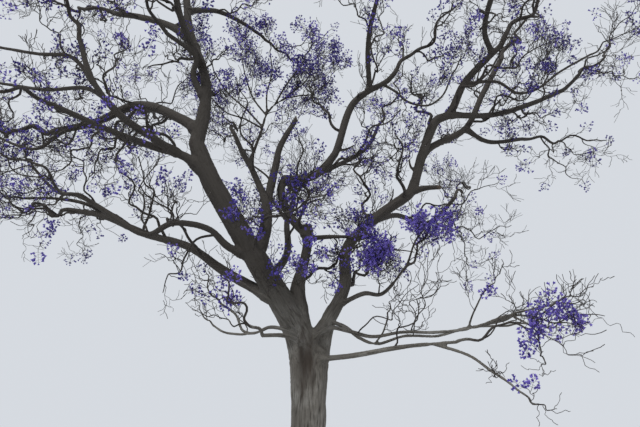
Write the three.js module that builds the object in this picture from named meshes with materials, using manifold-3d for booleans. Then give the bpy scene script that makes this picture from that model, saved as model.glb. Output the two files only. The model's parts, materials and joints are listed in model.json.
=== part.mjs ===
// A jacaranda in blossom, nearly bare of leaves: a short leaning trunk, sinuous boughs, and masses of
// twigs with blossom at their ends. Millimetres, +Z up. The origin is the middle of the flat cut under
// the trunk. X runs along the crown's widest side, and -Y faces the side the tree is best seen from.

import * as THREE from "three";
import { mergeVertices } from "three/addons/utils/BufferGeometryUtils.js";
import Module from "manifold-3d";

const wasm = await Module();
wasm.setup();

const UP = new THREE.Vector3(0, 0, 1);
const FRONT = new THREE.Vector3(0, -1, 0);
const CLEAR = 0.3; // between two solids that meet
const WELD = 1e-3; // points nearer than this are one
const NEARLY_UP = 0.9; // the upward share of a way from which FRONT takes the place of UP
const STEEPEST = 0.995; // the same for a side twig's carrier
const GOLDEN_TURN = Math.PI * (3 - Math.sqrt(5));
const GOLDEN_SHARE = (Math.sqrt(5) - 1) / 2;

// The trunk: radii over the bark, heights measured along its axis
const TRUNK_LEGS = [[1600, 0, 85], [1450, 0, 90]];
const TRUNK_LENGTH = TRUNK_LEGS.reduce((sum, leg) => sum + leg[0], 0);
const TRUNK_SIDES = 18;
const TRUNK_RINGS = 11;
const TRUNK_RADIUS = 285;
const ROOT_FLARE = 145;
const FLARE_HEIGHT = 230;
const ROOT_LOBES = 5;
const LOBE_DEPTH = 0.45;
const FORK_SWELL = 45;
const SWELL_FROM = 2300;
const DOME_FROM = 2750;
const DOME_TOP = 0.35; // the share of the radius that is left at the very top, inside the fork

// The boughs. A bough springs from the leg of its parent that `at` counts, as 1.5 for halfway up the
// second leg, or goes on from its tip. Its legs are [length, heading, climb]: the heading turns from +X
// to +Y and the climb is above level, in degrees. Its girths are diameters, evenly spaced from foot to tip.
const BOUGHS = {
  left_leader: {
    on: "trunk", at: 1.8, girths: [500, 460, 410, 370, 300],
    legs: [[900, 187, 62], [1700, 196, 57], [1350, 203, 57], [650, 205, 66]],
  },
  right_leader: {
    on: "trunk", at: 1.9, girths: [290, 240, 210, 200, 190],
    legs: [[700, 10, 55], [650, 10, 65], [750, 0, 85], [900, 350, 45], [800, 350, 35], [200, 0, 60]],
  },
  centre_stem: {
    on: "trunk", at: 1.9, girths: [320, 300, 280, 180, 175, 170, 160, 165],
    legs: [
      [600, 160, 75], [500, 150, 80], [600, 45, 75], [500, 0, 85],
      [600, 180, 55], [600, 180, 70], [350, 0, 75],
    ],
  },
  left_leader_top: {
    on: "left_leader", at: "tip", girths: [300, 220, 170, 150],
    legs: [[900, 0, 84], [600, 230, 84], [1450, 180, 71], [1000, 180, 80]],
  },
  left_low_bough: {
    on: "left_leader", at: 1.1, girths: [210, 160, 150, 110],
    legs: [[1400, 165, 30], [1000, 165, 35], [1150, 165, 20], [1300, 165, 25], [900, 165, 15]],
  },
  left_drooping_bough: {
    on: "left_leader", at: 1.65, girths: [160, 120, 100, 70],
    legs: [[600, 200, 20], [450, 210, 35], [650, 210, 0], [650, 230, -35], [850, 205, 25]],
  },
  left_long_bough: {
    on: "left_leader", at: 2.9, girths: [200, 140, 95],
    legs: [[600, 205, 35], [550, 200, 10], [850, 195, 15], [1200, 195, 20]],
  },
  left_front_bough: {
    on: "left_long_bough", at: 1.3, girths: [150, 140, 110, 80],
    legs: [[650, 235, 5], [700, 240, 5], [650, 230, 35], [850, 215, 65]],
  },
  left_arch_bough: {
    on: "left_leader_top", at: 0.3, girths: [220, 200, 170, 140],
    legs: [[600, 160, 40], [1350, 160, 28], [1300, 155, -4], [1050, 165, -3]],
  },
  left_back_bough: {
    on: "left_arch_bough", at: 1.9, girths: [130, 100, 75],
    legs: [[1200, 115, 25], [1200, 95, 35], [800, 105, 20]],
  },
  top_front_bough: {
    on: "left_leader_top", at: 1.1, girths: [130, 110, 80],
    legs: [[600, 225, 55], [350, 290, 55], [750, 235, 5]],
  },
  top_forward_bough: {
    on: "left_leader_top", at: 2.2, girths: [140, 110, 80],
    legs: [[1300, 260, 15], [1300, 275, 20], [900, 265, 10]],
  },
  top_left_bough: {
    on: "left_leader_top", at: 2.6, girths: [180, 150, 120],
    legs: [[1250, 150, 50], [1150, 165, 30], [700, 160, 25]],
  },
  top_right_bough: {
    on: "left_leader_top", at: 3.5, girths: [130, 100, 80],
    legs: [[850, 45, 35], [1000, 60, 25], [700, 50, 5]],
  },
  inner_stem: {
    on: "left_leader", at: 1.7, girths: [240, 220, 200],
    legs: [[600, 30, 70], [500, 95, 80], [300, 65, 80]],
  },
  inner_front_bough: {
    on: "inner_stem", at: 0.9, girths: [90, 75, 60],
    legs: [[450, 270, 5], [300, 300, 0]],
  },
  broken_stub: {
    on: "inner_stem", at: "tip", girths: [180, 150, 130, 95],
    legs: [[750, 25, 80], [450, 0, 80], [800, 0, 65]],
  },
  inner_back_bough: {
    on: "inner_stem", at: 2.4, girths: [150, 120, 90],
    legs: [[650, 125, 55], [750, 130, 57], [650, 130, 53], [800, 135, 60], [900, 110, 40]],
  },
  back_bough: {
    on: "left_leader", at: 1.4, girths: [170, 130, 95],
    legs: [[1300, 75, 40], [1500, 95, 50], [1500, 85, 45], [1100, 95, 35]],
  },
  centre_bough: {
    on: "centre_stem", at: 6.7, girths: [170, 165, 150, 110],
    legs: [[650, 350, 5], [600, 335, 40], [1200, 325, 65], [850, 345, 30]],
  },
  centre_back_bough: {
    on: "centre_bough", at: 0.7, girths: [115, 100, 75],
    legs: [[1100, 45, 35], [1550, 45, 40], [1050, 45, 60]],
  },
  centre_front_bough: {
    on: "centre_bough", at: 3.5, girths: [110, 95, 75],
    legs: [[1000, 265, 45], [1200, 280, 25]],
  },
  centre_short_bough: {
    on: "centre_stem", at: 4, girths: [100, 80, 60],
    legs: [[600, 320, -10], [350, 330, -10]],
  },
  right_upper_bough: {
    on: "right_leader", at: "tip", girths: [190, 190, 160, 120],
    legs: [[900, 5, 72], [700, 340, 64], [300, 340, 22], [780, 330, 58], [1000, 330, 37]],
  },
  right_tall_bough: {
    on: "right_leader", at: 5.5, girths: [150, 140, 130, 120],
    legs: [[1100, 25, 65], [1150, 10, 35], [1200, 20, 60], [1450, 15, 60]],
  },
  right_outer_bough: {
    on: "right_upper_bough", at: 2.9, girths: [130, 110, 95],
    legs: [[1100, 15, 10], [950, 5, 20], [900, 0, 25]],
  },
  right_low_bough: {
    on: "right_tall_bough", at: 2, girths: [120, 90, 80],
    legs: [[550, 10, -30], [900, 10, 10]],
  },
  right_front_bough: {
    on: "right_upper_bough", at: 4.8, girths: [120, 100, 75],
    legs: [[500, 235, 40], [1000, 275, 30], [1200, 290, 20], [700, 280, 15]],
  },
  right_back_bough: {
    on: "right_leader", at: 3.8, girths: [120, 100, 75],
    legs: [[1100, 50, 25], [1050, 40, 5], [1250, 35, 40], [1200, 65, 35]],
  },
  low_forward_bough: {
    on: "right_leader", at: 1.3, girths: [95, 75, 50],
    legs: [[650, 325, 15], [350, 325, -10], [600, 320, 35]],
  },
  low_right_bough: {
    on: "trunk", at: 1.75, girths: [100, 80, 50],
    legs: [[850, 325, 0], [950, 330, 5], [900, 325, 0]],
  },
  low_left_bough: {
    on: "trunk", at: 1.85, girths: [95, 80, 60],
    legs: [[650, 240, 15], [650, 230, -5]],
  },
};
const THICK_SIDES = 8;
const THIN_SIDES = 6;
const THIN_UNDER = 160; // foot girth
const RINGS_PER_LEG = 2;
const SAMPLES_PER_LEG = 4; // straight pieces that a twig is kept clear of

// The masses, each on the tip of one bough. The reach is the radius of the mass's space, whose middle
// lies along the heading and climb from the bough's tip. Bloom is the share of twig ends in blossom.
const MASSES = {
  crown_top_twigs: { on: "left_leader_top", reach: 1800, heading: 190, climb: 80, bloom: 0.4 },
  left_arch_twigs: { on: "left_arch_bough", reach: 2000, heading: 170, climb: 20, bloom: 0.4 },
  left_back_twigs: { on: "left_back_bough", reach: 1800, heading: 110, climb: 25, bloom: 0.4 },
  left_long_twigs: { on: "left_long_bough", reach: 1800, heading: 195, climb: 15, bloom: 0.4 },
  left_front_twigs: { on: "left_front_bough", reach: 1800, heading: 235, climb: 45, bloom: 0.4 },
  left_low_twigs: { on: "left_low_bough", reach: 1700, heading: 160, climb: 0, bloom: 0.4 },
  left_drooping_twigs: { on: "left_drooping_bough", reach: 1400, heading: 205, climb: 15, bloom: 0.4 },
  top_front_twigs: { on: "top_front_bough", reach: 1500, heading: 240, climb: 20, bloom: 0.4 },
  top_forward_twigs: { on: "top_forward_bough", reach: 1900, heading: 265, climb: 25, bloom: 0.4 },
  top_left_twigs: { on: "top_left_bough", reach: 2000, heading: 165, climb: 30, bloom: 0.4 },
  top_right_twigs: { on: "top_right_bough", reach: 1700, heading: 50, climb: -20, bloom: 0.9 },
  inner_front_twigs: { on: "inner_front_bough", reach: 1000, heading: 340, climb: -10, bloom: 0.9 },
  inner_back_twigs: { on: "inner_back_bough", reach: 1600, heading: 110, climb: 35, bloom: 0.5 },
  back_twigs: { on: "back_bough", reach: 1900, heading: 90, climb: 35, bloom: 0.4 },
  centre_twigs: { on: "centre_bough", reach: 1500, heading: 340, climb: 45, bloom: 0.4 },
  centre_back_twigs: { on: "centre_back_bough", reach: 1600, heading: 45, climb: 50, bloom: 0.4 },
  centre_front_twigs: { on: "centre_front_bough", reach: 1700, heading: 270, climb: 30, bloom: 0.4 },
  centre_short_twigs: { on: "centre_short_bough", reach: 900, heading: 330, climb: -20, bloom: 0.9 },
  right_upper_twigs: { on: "right_upper_bough", reach: 1700, heading: 320, climb: 50, bloom: 0.4 },
  right_tall_twigs: { on: "right_tall_bough", reach: 1900, heading: 25, climb: 55, bloom: 0.4 },
  right_outer_twigs: { on: "right_outer_bough", reach: 1900, heading: 355, climb: 30, bloom: 0.4 },
  right_low_twigs: { on: "right_low_bough", reach: 1500, heading: 10, climb: 0, bloom: 0.4 },
  right_front_twigs: { on: "right_front_bough", reach: 1900, heading: 285, climb: 20, bloom: 0.4 },
  right_back_twigs: { on: "right_back_bough", reach: 1800, heading: 70, climb: 30, bloom: 0.4 },
  low_forward_twigs: { on: "low_forward_bough", reach: 900, heading: 325, climb: 50, bloom: 0.9 },
  low_right_twigs: { on: "low_right_bough", reach: 1300, heading: 335, climb: 12, bloom: 0.9 },
  low_left_twigs: { on: "low_left_bough", reach: 1000, heading: 215, climb: 55, bloom: 0.9 },
};
const MIDDLE_AHEAD = 0.75; // from the bough's tip to the middle of the space, as a share of the reach
const SPACE_HEIGHT = 0.85; // a space is a little flatter than it is wide
const SPACE_GAP = 60; // between the spaces of two masses
const LIMB_GAP = 25; // between a twig and a bough that isn't its own

// The growth rule: a stem through the space, side twigs on it, and side twigs on those. Lengths are
// shares of the reach, leans and turns are in degrees from the twig that carries them.
const STEM = { length: 1.45, steps: 3, bend: 0.22, lift: 0.05 };
const SIDE_TWIGS = [
  { count: 5, first: 0.12, last: 0.92, length: 0.95, lean: 58, steps: 2, bend: 0.22, lift: 0.12 },
  { count: 2, first: 0.35, last: 0.8, length: 0.5, lean: 45, steps: 1, bend: 0.2, lift: 0.12 },
];
const USUAL_REACH = 1800; // a smaller mass has fewer twigs on its stem
const LEAN_SPREAD = 14;
const LENGTH_AT_FOOT = 1.15; // a side twig's length, by where it grows on its carrier
const LENGTH_AT_TIP = 0.7;
const LENGTH_SPREAD = 0.2;
const FITTED_AT = [0.4, 0.7, 1]; // the shares of a twig that are held to its space
const TRIES = 6; // a twig that leaves its space is tried again, turned and shorter
const TRY_TURN = 100;
const TRY_SHORTER = 0.1;
const TWIG_SIDES = 3;
const TWIG_TAPER = 0.3; // tip against foot
const STEM_FOOT = 0.9; // against the bough's tip
const SIDE_TWIG_FOOT = 0.62; // against its carrier there
const THINNEST_TWIG = 7; // radius
const THREE_SIDED = 1.25; // a three-sided twig's corner radius against the round one's

// A blossom spray: a long eight-faced body round the end of a twig
const SPRAY_LENGTH = 380;
const SPRAY_WIDTH = 210;
const SPRAY_SINK = 0.35; // the share of its length that lies back along its twig
const SPRAY_SPREAD = 0.2;

// Which of a seed's numbers decides what; a twig's bends take the ones from 0 on
const FOR = { mass: 7, lean: 40, length: 41, turn: 50, spraySize: 60, bloom: 61, sideTwig: 100 };

// A whole number that depends only on a seed and a count
function mix(seed, count) {
  let h = Math.imul(seed ^ Math.imul(count + 1, 0x9e3779b1), 0x85ebca6b);
  h = Math.imul(h ^ (h >>> 13), 0xc2b2ae35);
  return (h ^ (h >>> 16)) >>> 0;
}

// The same as a number from 0 to 1, and from -1 to 1
function chance(seed, count) {
  return mix(seed, count) / 2 ** 32;
}

function swing(seed, count) {
  return chance(seed, count) * 2 - 1;
}

function direction(heading, climb) {
  const h = THREE.MathUtils.degToRad(heading);
  const c = THREE.MathUtils.degToRad(climb);
  return new THREE.Vector3(Math.cos(c) * Math.cos(h), Math.cos(c) * Math.sin(h), Math.sin(c));
}

function lineOfLegs(foot, legs) {
  const points = [foot.clone()];
  for (const [length, heading, climb] of legs) {
    points.push(points.at(-1).clone().addScaledVector(direction(heading, climb), length));
  }
  return points;
}

// Evenly spaced values read at a share of the way along them
function along(values, share) {
  const place = THREE.MathUtils.clamp(share, 0, 1) * (values.length - 1);
  const low = Math.min(Math.floor(place), values.length - 2);
  return THREE.MathUtils.lerp(values[low], values[low + 1], place - low);
}

// Frames from points and the ways there, turning as little as they can
function makeFrames(points, ways) {
  let side = new THREE.Vector3().crossVectors(ways[0], Math.abs(ways[0].z) > NEARLY_UP ? FRONT : UP);
  return points.map((point, i) => {
    const way = ways[i];
    side = side.clone().addScaledVector(way, -side.dot(way)).normalize();
    return { point, way, side, over: new THREE.Vector3().crossVectors(way, side) };
  });
}

function curveFrames(curve, rings, startWay) {
  const shares = Array.from({ length: rings + 1 }, (_, i) => i / rings);
  const ways = shares.map((share) => curve.getTangent(share));
  if (startWay) ways[0] = startWay.clone();
  return makeFrames(shares.map((share) => curve.getPoint(share)), ways);
}

function lineFrames(points, startWay) {
  const ways = points.map((point, i) => {
    const before = points[Math.max(i - 1, 0)];
    const after = points[Math.min(i + 1, points.length - 1)];
    return after.clone().sub(before).normalize();
  });
  if (startWay) ways[0] = startWay.clone();
  return makeFrames(points, ways);
}

// The same frames with the two end ones moved outwards
function longer(list, grow) {
  const first = { ...list[0], point: list[0].point.clone().addScaledVector(list[0].way, -grow) };
  const last = { ...list.at(-1), point: list.at(-1).point.clone().addScaledVector(list.at(-1).way, grow) };
  return [first, ...list.slice(1, -1), last];
}

// A cylinder bent along frames; a pointed one ends in its axis
function bentCylinder(sides, list, radiusAt, pointed = false) {
  const rings = list.length - 1;
  const shape = new THREE.CylinderGeometry(pointed ? 0 : 1, 1, 1, sides, rings);
  const position = shape.getAttribute("position");
  for (let i = 0; i < position.count; i++) {
    const share = position.getY(i) + 0.5;
    const frame = list[Math.round(share * rings)];
    const x = position.getX(i);
    const z = position.getZ(i);
    const round = Math.hypot(x, z);
    const radius = round > WELD ? radiusAt(share, Math.atan2(z, x)) / round : 0;
    const place = frame.point.clone();
    place.addScaledVector(frame.side, z * radius).addScaledVector(frame.over, x * radius);
    position.setXYZ(i, place.x, place.y, place.z);
  }
  return shape;
}

function toSolid(shape) {
  const bare = shape.clone();
  bare.deleteAttribute("normal");
  bare.deleteAttribute("uv");
  const merged = mergeVertices(bare, WELD);
  return new wasm.Manifold(
    new wasm.Mesh({
      numProp: 3,
      vertProperties: merged.getAttribute("position").array,
      triVerts: new Uint32Array(merged.index.array),
    }),
  );
}

function toGeometry(solid) {
  const mesh = solid.getMesh();
  const shape = new THREE.BufferGeometry();
  shape.setAttribute("position", new THREE.BufferAttribute(mesh.vertProperties, 3));
  shape.setIndex(new THREE.BufferAttribute(mesh.triVerts, 1));
  shape.computeVertexNormals();
  return shape;
}

// The biggest loose piece, without sealed hollows or scraps
function biggest(solid) {
  return solid.decompose().reduce((best, piece) => (piece.volume() > best.volume() ? piece : best));
}

function boxesMeet(a, b) {
  const one = a.boundingBox();
  const two = b.boundingBox();
  return [0, 1, 2].every((axis) => one.min[axis] <= two.max[axis] && two.min[axis] <= one.max[axis]);
}

function trunkRadius(share, angle, grow = 0) {
  const height = share * TRUNK_LENGTH;
  const lobes = 1 + LOBE_DEPTH * Math.cos(ROOT_LOBES * angle);
  const flare = ROOT_FLARE * lobes * Math.exp(-height / FLARE_HEIGHT);
  const swell = FORK_SWELL * THREE.MathUtils.smoothstep(height, SWELL_FROM, DOME_FROM);
  const dome = THREE.MathUtils.smoothstep(height, DOME_FROM, TRUNK_LENGTH);
  return (TRUNK_RADIUS + flare + swell) * (1 - (1 - DOME_TOP) * dome) + grow;
}

function makeTrunk() {
  const curve = new THREE.CatmullRomCurve3(lineOfLegs(new THREE.Vector3(), TRUNK_LEGS));
  const list = curveFrames(curve, TRUNK_RINGS);
  for (const frame of list) {
    frame.way = UP;
    frame.side = new THREE.Vector3(1, 0, 0);
    frame.over = new THREE.Vector3(0, 1, 0);
  }
  const body = (grow) =>
    toSolid(bentCylinder(TRUNK_SIDES, longer(list, grow), (share, angle) => trunkRadius(share, angle, grow)));
  return {
    curve,
    legs: TRUNK_LEGS.length,
    radiusAt: (share) => trunkRadius(share, Math.PI / 2 / ROOT_LOBES),
    solid: body(0),
    cutter: body(CLEAR),
  };
}

function makeBough(name, bough, parent) {
  const goesOn = bough.at === "tip";
  const parentWay = parent.curve.getTangent(1);
  const foot = goesOn
    ? parent.curve.getPoint(1).addScaledVector(parentWay, CLEAR)
    : parent.curve.getPoint(bough.at / parent.legs);
  const curve = new THREE.CatmullRomCurve3(lineOfLegs(foot, bough.legs));
  const list = curveFrames(curve, bough.legs.length * RINGS_PER_LEG, goesOn ? parentWay : null);
  const sides = bough.girths[0] < THIN_UNDER ? THIN_SIDES : THICK_SIDES;
  const radiusAt = (share) => along(bough.girths, share) / 2;
  const body = (grow) => toSolid(bentCylinder(sides, longer(list, grow), (share) => radiusAt(share) + grow));
  return { name, curve, legs: bough.legs.length, radiusAt, solid: body(0), cutter: body(CLEAR) };
}

// Each bough is cut clear of every limb before it
function makeLimbs() {
  const limbs = { trunk: { name: "trunk", ...makeTrunk() } };
  for (const [name, bough] of Object.entries(BOUGHS)) {
    const limb = makeBough(name, bough, limbs[bough.on]);
    for (const other of Object.values(limbs)) {
      if (bough.at === "tip" && other === limbs[bough.on]) continue;
      if (boxesMeet(limb.solid, other.cutter)) limb.solid = biggest(limb.solid.subtract(other.cutter));
    }
    limbs[name] = limb;
  }
  return limbs;
}

// The axis of each limb as short straight pieces with a radius, to keep twigs clear of it
function limbSamples(limbs) {
  return Object.values(limbs).map((limb) => {
    const count = limb.legs * SAMPLES_PER_LEG;
    return Array.from({ length: count + 1 }, (_, i) => ({
      point: limb.curve.getPoint(i / count),
      radius: limb.radiusAt(i / count),
    }));
  });
}

function clearOfLimbs(point, clearance, samples) {
  const piece = new THREE.Line3();
  const near = new THREE.Vector3();
  return samples.every((limb) =>
    limb.slice(1).every((end, i) => {
      piece.set(limb[i].point, end.point);
      piece.closestPointToPoint(point, true, near);
      return near.distanceTo(point) > Math.max(limb[i].radius, end.radius) + LIMB_GAP + clearance;
    }),
  );
}

// A mass's own space: an ellipsoid, cut off halfway to the middle of each other mass
function makeSpace(mass, spaces) {
  return (point, clearance) => {
    const from = point.clone().sub(mass.middle);
    const size = Math.hypot(from.x, from.y, from.z / SPACE_HEIGHT);
    if (size > mass.reach - clearance) return false;
    return spaces.every((other) => {
      if (other === mass) return true;
      const over = other.middle.clone().sub(mass.middle);
      const edge = (over.length() * mass.reach) / (mass.reach + other.reach);
      return from.dot(over.normalize()) < edge - SPACE_GAP / 2 - clearance;
    });
  };
}

// A wandering line from a foot, bent a little by chance and upwards at each step
function wander(foot, way, length, rule, seed) {
  const points = [foot.clone()];
  const now = way.clone();
  for (let i = 0; i < rule.steps; i++) {
    now.x += rule.bend * swing(seed, 3 * i);
    now.y += rule.bend * swing(seed, 3 * i + 1);
    now.z += rule.bend * swing(seed, 3 * i + 2) + rule.lift;
    now.normalize();
    points.push(points.at(-1).clone().addScaledVector(now, length / rule.steps));
  }
  return points;
}

// The point and the way at a share of a line
function onLine(points, share) {
  const place = share * (points.length - 1);
  const low = Math.min(Math.floor(place), points.length - 2);
  const point = points[low].clone().lerp(points[low + 1], place - low);
  return { point, way: points[low + 1].clone().sub(points[low]).normalize() };
}

function twigRadius(twig, share) {
  return Math.max(THINNEST_TWIG, twig.radius * THREE.MathUtils.lerp(1, TWIG_TAPER, share));
}

// The way of a side twig that leans off its carrier, each next one a golden turn round from the last
function leaningWay(way, lean, turn) {
  const level = new THREE.Vector3().crossVectors(way, Math.abs(way.z) > STEEPEST ? FRONT : UP).normalize();
  const over = new THREE.Vector3().crossVectors(level, way);
  const off = way.clone().multiplyScalar(Math.cos(lean));
  off.addScaledVector(level, Math.cos(turn) * Math.sin(lean));
  return off.addScaledVector(over, Math.sin(turn) * Math.sin(lean));
}

function sideTwig(carrier, rule, count, fits) {
  const seed = mix(carrier.seed, FOR.sideTwig + count);
  const share = THREE.MathUtils.lerp(rule.first, rule.last, (0.5 + count * GOLDEN_SHARE) % 1);
  const foot = onLine(carrier.points, share);
  const lean = THREE.MathUtils.degToRad(rule.lean + LEAN_SPREAD * swing(seed, FOR.lean));
  const usual = rule.length * carrier.reach * THREE.MathUtils.lerp(LENGTH_AT_FOOT, LENGTH_AT_TIP, share);
  const full = usual * (1 + LENGTH_SPREAD * swing(seed, FOR.length));
  const radius = SIDE_TWIG_FOOT * twigRadius(carrier, share);
  const turn = count * GOLDEN_TURN + Math.PI * 2 * chance(carrier.seed, FOR.turn);
  for (let attempt = 0; attempt < TRIES; attempt++) {
    const off = leaningWay(foot.way, lean, turn + THREE.MathUtils.degToRad(attempt * TRY_TURN));
    const points = wander(foot.point, off, full * (1 - attempt * TRY_SHORTER), rule, seed);
    const twig = { points, seed, radius, reach: carrier.reach };
    if (FITTED_AT.every((at) => fits(onLine(points, at).point, twigRadius(twig, at)))) return twig;
  }
  return null;
}

function growTwigs(carrier, depth, fits) {
  const rule = SIDE_TWIGS[depth];
  if (!rule) return [];
  const grown = [];
  const total = depth === 0 ? Math.round((rule.count * carrier.reach) / USUAL_REACH) : rule.count;
  for (let count = 0; count < total; count++) {
    const twig = sideTwig(carrier, rule, count, fits);
    if (twig) grown.push(twig, ...growTwigs(twig, depth + 1, fits));
  }
  return grown;
}

function twigSolid(twig, startWay) {
  const radiusAt = (share) => twigRadius(twig, share) * THREE_SIDED;
  return toSolid(bentCylinder(TWIG_SIDES, lineFrames(twig.points, startWay), radiusAt, true));
}

// The size of a spray and its middle, a little ahead of its twig's end
function placeSpray(twig) {
  const size = 1 + SPRAY_SPREAD * swing(twig.seed, FOR.spraySize);
  const end = onLine(twig.points, 1);
  const middle = end.point.addScaledVector(end.way, SPRAY_LENGTH * size * (0.5 - SPRAY_SINK));
  return { size, middle, way: end.way };
}

function spraySolid(twig) {
  const spray = placeSpray(twig);
  const shape = new THREE.OctahedronGeometry(spray.size);
  shape.scale(SPRAY_WIDTH / 2, SPRAY_LENGTH / 2, SPRAY_WIDTH / 2);
  shape.applyQuaternion(new THREE.Quaternion().setFromUnitVectors(new THREE.Vector3(0, 1, 0), spray.way));
  shape.translate(spray.middle.x, spray.middle.y, spray.middle.z);
  return toSolid(shape);
}

function placeMass(name, mass, index, limbs) {
  const bough = limbs[mass.on];
  const tip = bough.curve.getPoint(1);
  const tipWay = bough.curve.getTangent(1);
  const middle = tip.clone().addScaledVector(direction(mass.heading, mass.climb), MIDDLE_AHEAD * mass.reach);
  return { ...mass, name, tip, tipWay, middle, tipRadius: bough.radiusAt(1), seed: mix(index, FOR.mass) };
}

function makeMass(mass, spaces, samples) {
  const inSpace = makeSpace(mass, spaces);
  const fits = (point, clearance) => inSpace(point, clearance) && clearOfLimbs(point, clearance, samples);
  const foot = mass.tip.clone().addScaledVector(mass.tipWay, CLEAR);
  const towards = mass.middle.clone().sub(mass.tip).normalize().add(mass.tipWay).normalize();
  const points = wander(foot, towards, STEM.length * mass.reach, STEM, mass.seed);
  const stem = { points, seed: mass.seed, radius: mass.tipRadius * STEM_FOOT, reach: mass.reach };
  const twigs = growTwigs(stem, 0, fits);
  const ends = [stem, ...twigs].filter((twig) => {
    if (chance(twig.seed, FOR.bloom) >= mass.bloom) return false;
    const { middle } = placeSpray(twig);
    return fits(middle, SPRAY_WIDTH / 2) && inSpace(middle, SPRAY_LENGTH / 2);
  });
  let solid = twigSolid(stem, mass.tipWay);
  for (const twig of twigs) solid = solid.add(twigSolid(twig, null));
  for (const twig of ends) solid = solid.add(spraySolid(twig));
  return biggest(solid);
}

const bark = new THREE.MeshStandardMaterial({ color: "#6e655b", roughness: 0.95, metalness: 0 });
const blossom = new THREE.MeshStandardMaterial({ color: "#7d74c4", roughness: 0.8, metalness: 0 });

function addMesh(group, name, solid, material) {
  const mesh = new THREE.Mesh(toGeometry(solid), material);
  mesh.name = name;
  group.add(mesh);
}

function makeTree() {
  const tree = new THREE.Group();
  const limbs = makeLimbs();
  for (const [name, limb] of Object.entries(limbs)) addMesh(tree, name, limb.solid, bark);
  const samples = limbSamples(limbs);
  const spaces = Object.entries(MASSES).map(([name, mass], index) => placeMass(name, mass, index, limbs));
  for (const mass of spaces) addMesh(tree, mass.name, makeMass(mass, spaces, samples), blossom);
  return tree;
}

export default makeTree();
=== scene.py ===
import json
import math
from dataclasses import dataclass
from functools import partial

import bmesh
import bpy
import numpy as np
from mathutils import Matrix, Vector, noise

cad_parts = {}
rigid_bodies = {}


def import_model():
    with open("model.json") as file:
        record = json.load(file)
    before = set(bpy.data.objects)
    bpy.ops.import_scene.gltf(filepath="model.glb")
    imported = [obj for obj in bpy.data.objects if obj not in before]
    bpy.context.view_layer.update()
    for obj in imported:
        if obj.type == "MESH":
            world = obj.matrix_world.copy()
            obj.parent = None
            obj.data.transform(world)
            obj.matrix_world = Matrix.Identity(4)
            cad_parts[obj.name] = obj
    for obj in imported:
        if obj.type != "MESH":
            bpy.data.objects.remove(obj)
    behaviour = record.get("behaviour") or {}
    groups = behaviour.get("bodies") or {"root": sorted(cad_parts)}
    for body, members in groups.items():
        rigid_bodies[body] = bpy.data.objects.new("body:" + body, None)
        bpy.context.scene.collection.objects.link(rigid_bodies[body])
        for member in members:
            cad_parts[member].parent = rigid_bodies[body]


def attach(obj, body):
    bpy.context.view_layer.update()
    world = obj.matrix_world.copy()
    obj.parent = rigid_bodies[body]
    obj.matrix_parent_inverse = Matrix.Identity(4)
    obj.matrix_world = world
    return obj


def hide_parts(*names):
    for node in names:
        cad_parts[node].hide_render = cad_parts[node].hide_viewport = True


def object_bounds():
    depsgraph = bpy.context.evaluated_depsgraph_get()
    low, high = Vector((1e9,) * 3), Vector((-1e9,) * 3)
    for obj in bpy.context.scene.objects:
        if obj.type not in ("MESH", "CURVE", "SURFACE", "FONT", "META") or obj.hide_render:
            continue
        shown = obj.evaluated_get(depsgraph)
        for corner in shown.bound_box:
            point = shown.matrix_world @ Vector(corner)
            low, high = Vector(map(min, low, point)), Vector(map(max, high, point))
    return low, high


# A jacaranda in blossom: metres and degrees, +Z up, the origin in the middle of the cut under the trunk

bl_info = {
    "name": "Jacaranda tree",
    "version": (1, 0, 0),
    "blender": (4, 5, 0),
    "location": "3D View > Sidebar > Jacaranda",
    "description": "Dresses a tree's packed solids in bark, twigs and blossom",
    "category": "Object",
}

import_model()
CAD_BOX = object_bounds()

NOISE_SEED = 1
noise.seed_set(NOISE_SEED)  # noise_vector goes by the clock without it

UP = np.array([0.0, 0.0, 1.0])
FRONT = np.array([0.0, -1.0, 0.0])
CLEAR = 0.0003  # between two solids that meet
NEARLY_UP = 0.9  # the upward share of a way from which FRONT takes the place of UP
STEEPEST = 0.995  # the same for a side twig's carrier
GOLDEN_TURN = math.pi * (3 - math.sqrt(5))
GOLDEN_SHARE = (math.sqrt(5) - 1) / 2

# The trunk: radii over the bark, heights measured along its axis
TRUNK_LEGS = [(1.6, 0, 85), (1.45, 0, 90)]
TRUNK_LENGTH = sum(leg[0] for leg in TRUNK_LEGS)
TRUNK_RADIUS = 0.285
ROOT_FLARE = 0.145
FLARE_HEIGHT = 0.23
ROOT_LOBES = 5
LOBE_DEPTH = 0.45
FORK_SWELL = 0.045
SWELL_FROM = 2.3
DOME_FROM = 2.75
DOME_TOP = 0.35

# Flutes: angle at the fork, rise, half the width in degrees, heights between which each comes up
FLUTES = (
    (318, 0.02, 24, 0.3, 1.8), (208, 0.02, 26, 0.3, 1.6), (266, -0.05, 24, 1.6, 2.6),
    (100, 0.015, 25, 0.2, 1.4), (60, -0.025, 18, 0.8, 2.0), (155, -0.02, 20, 0.8, 2.2),
)
FLUTE_TWIST = 9  # degrees to a metre

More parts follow.
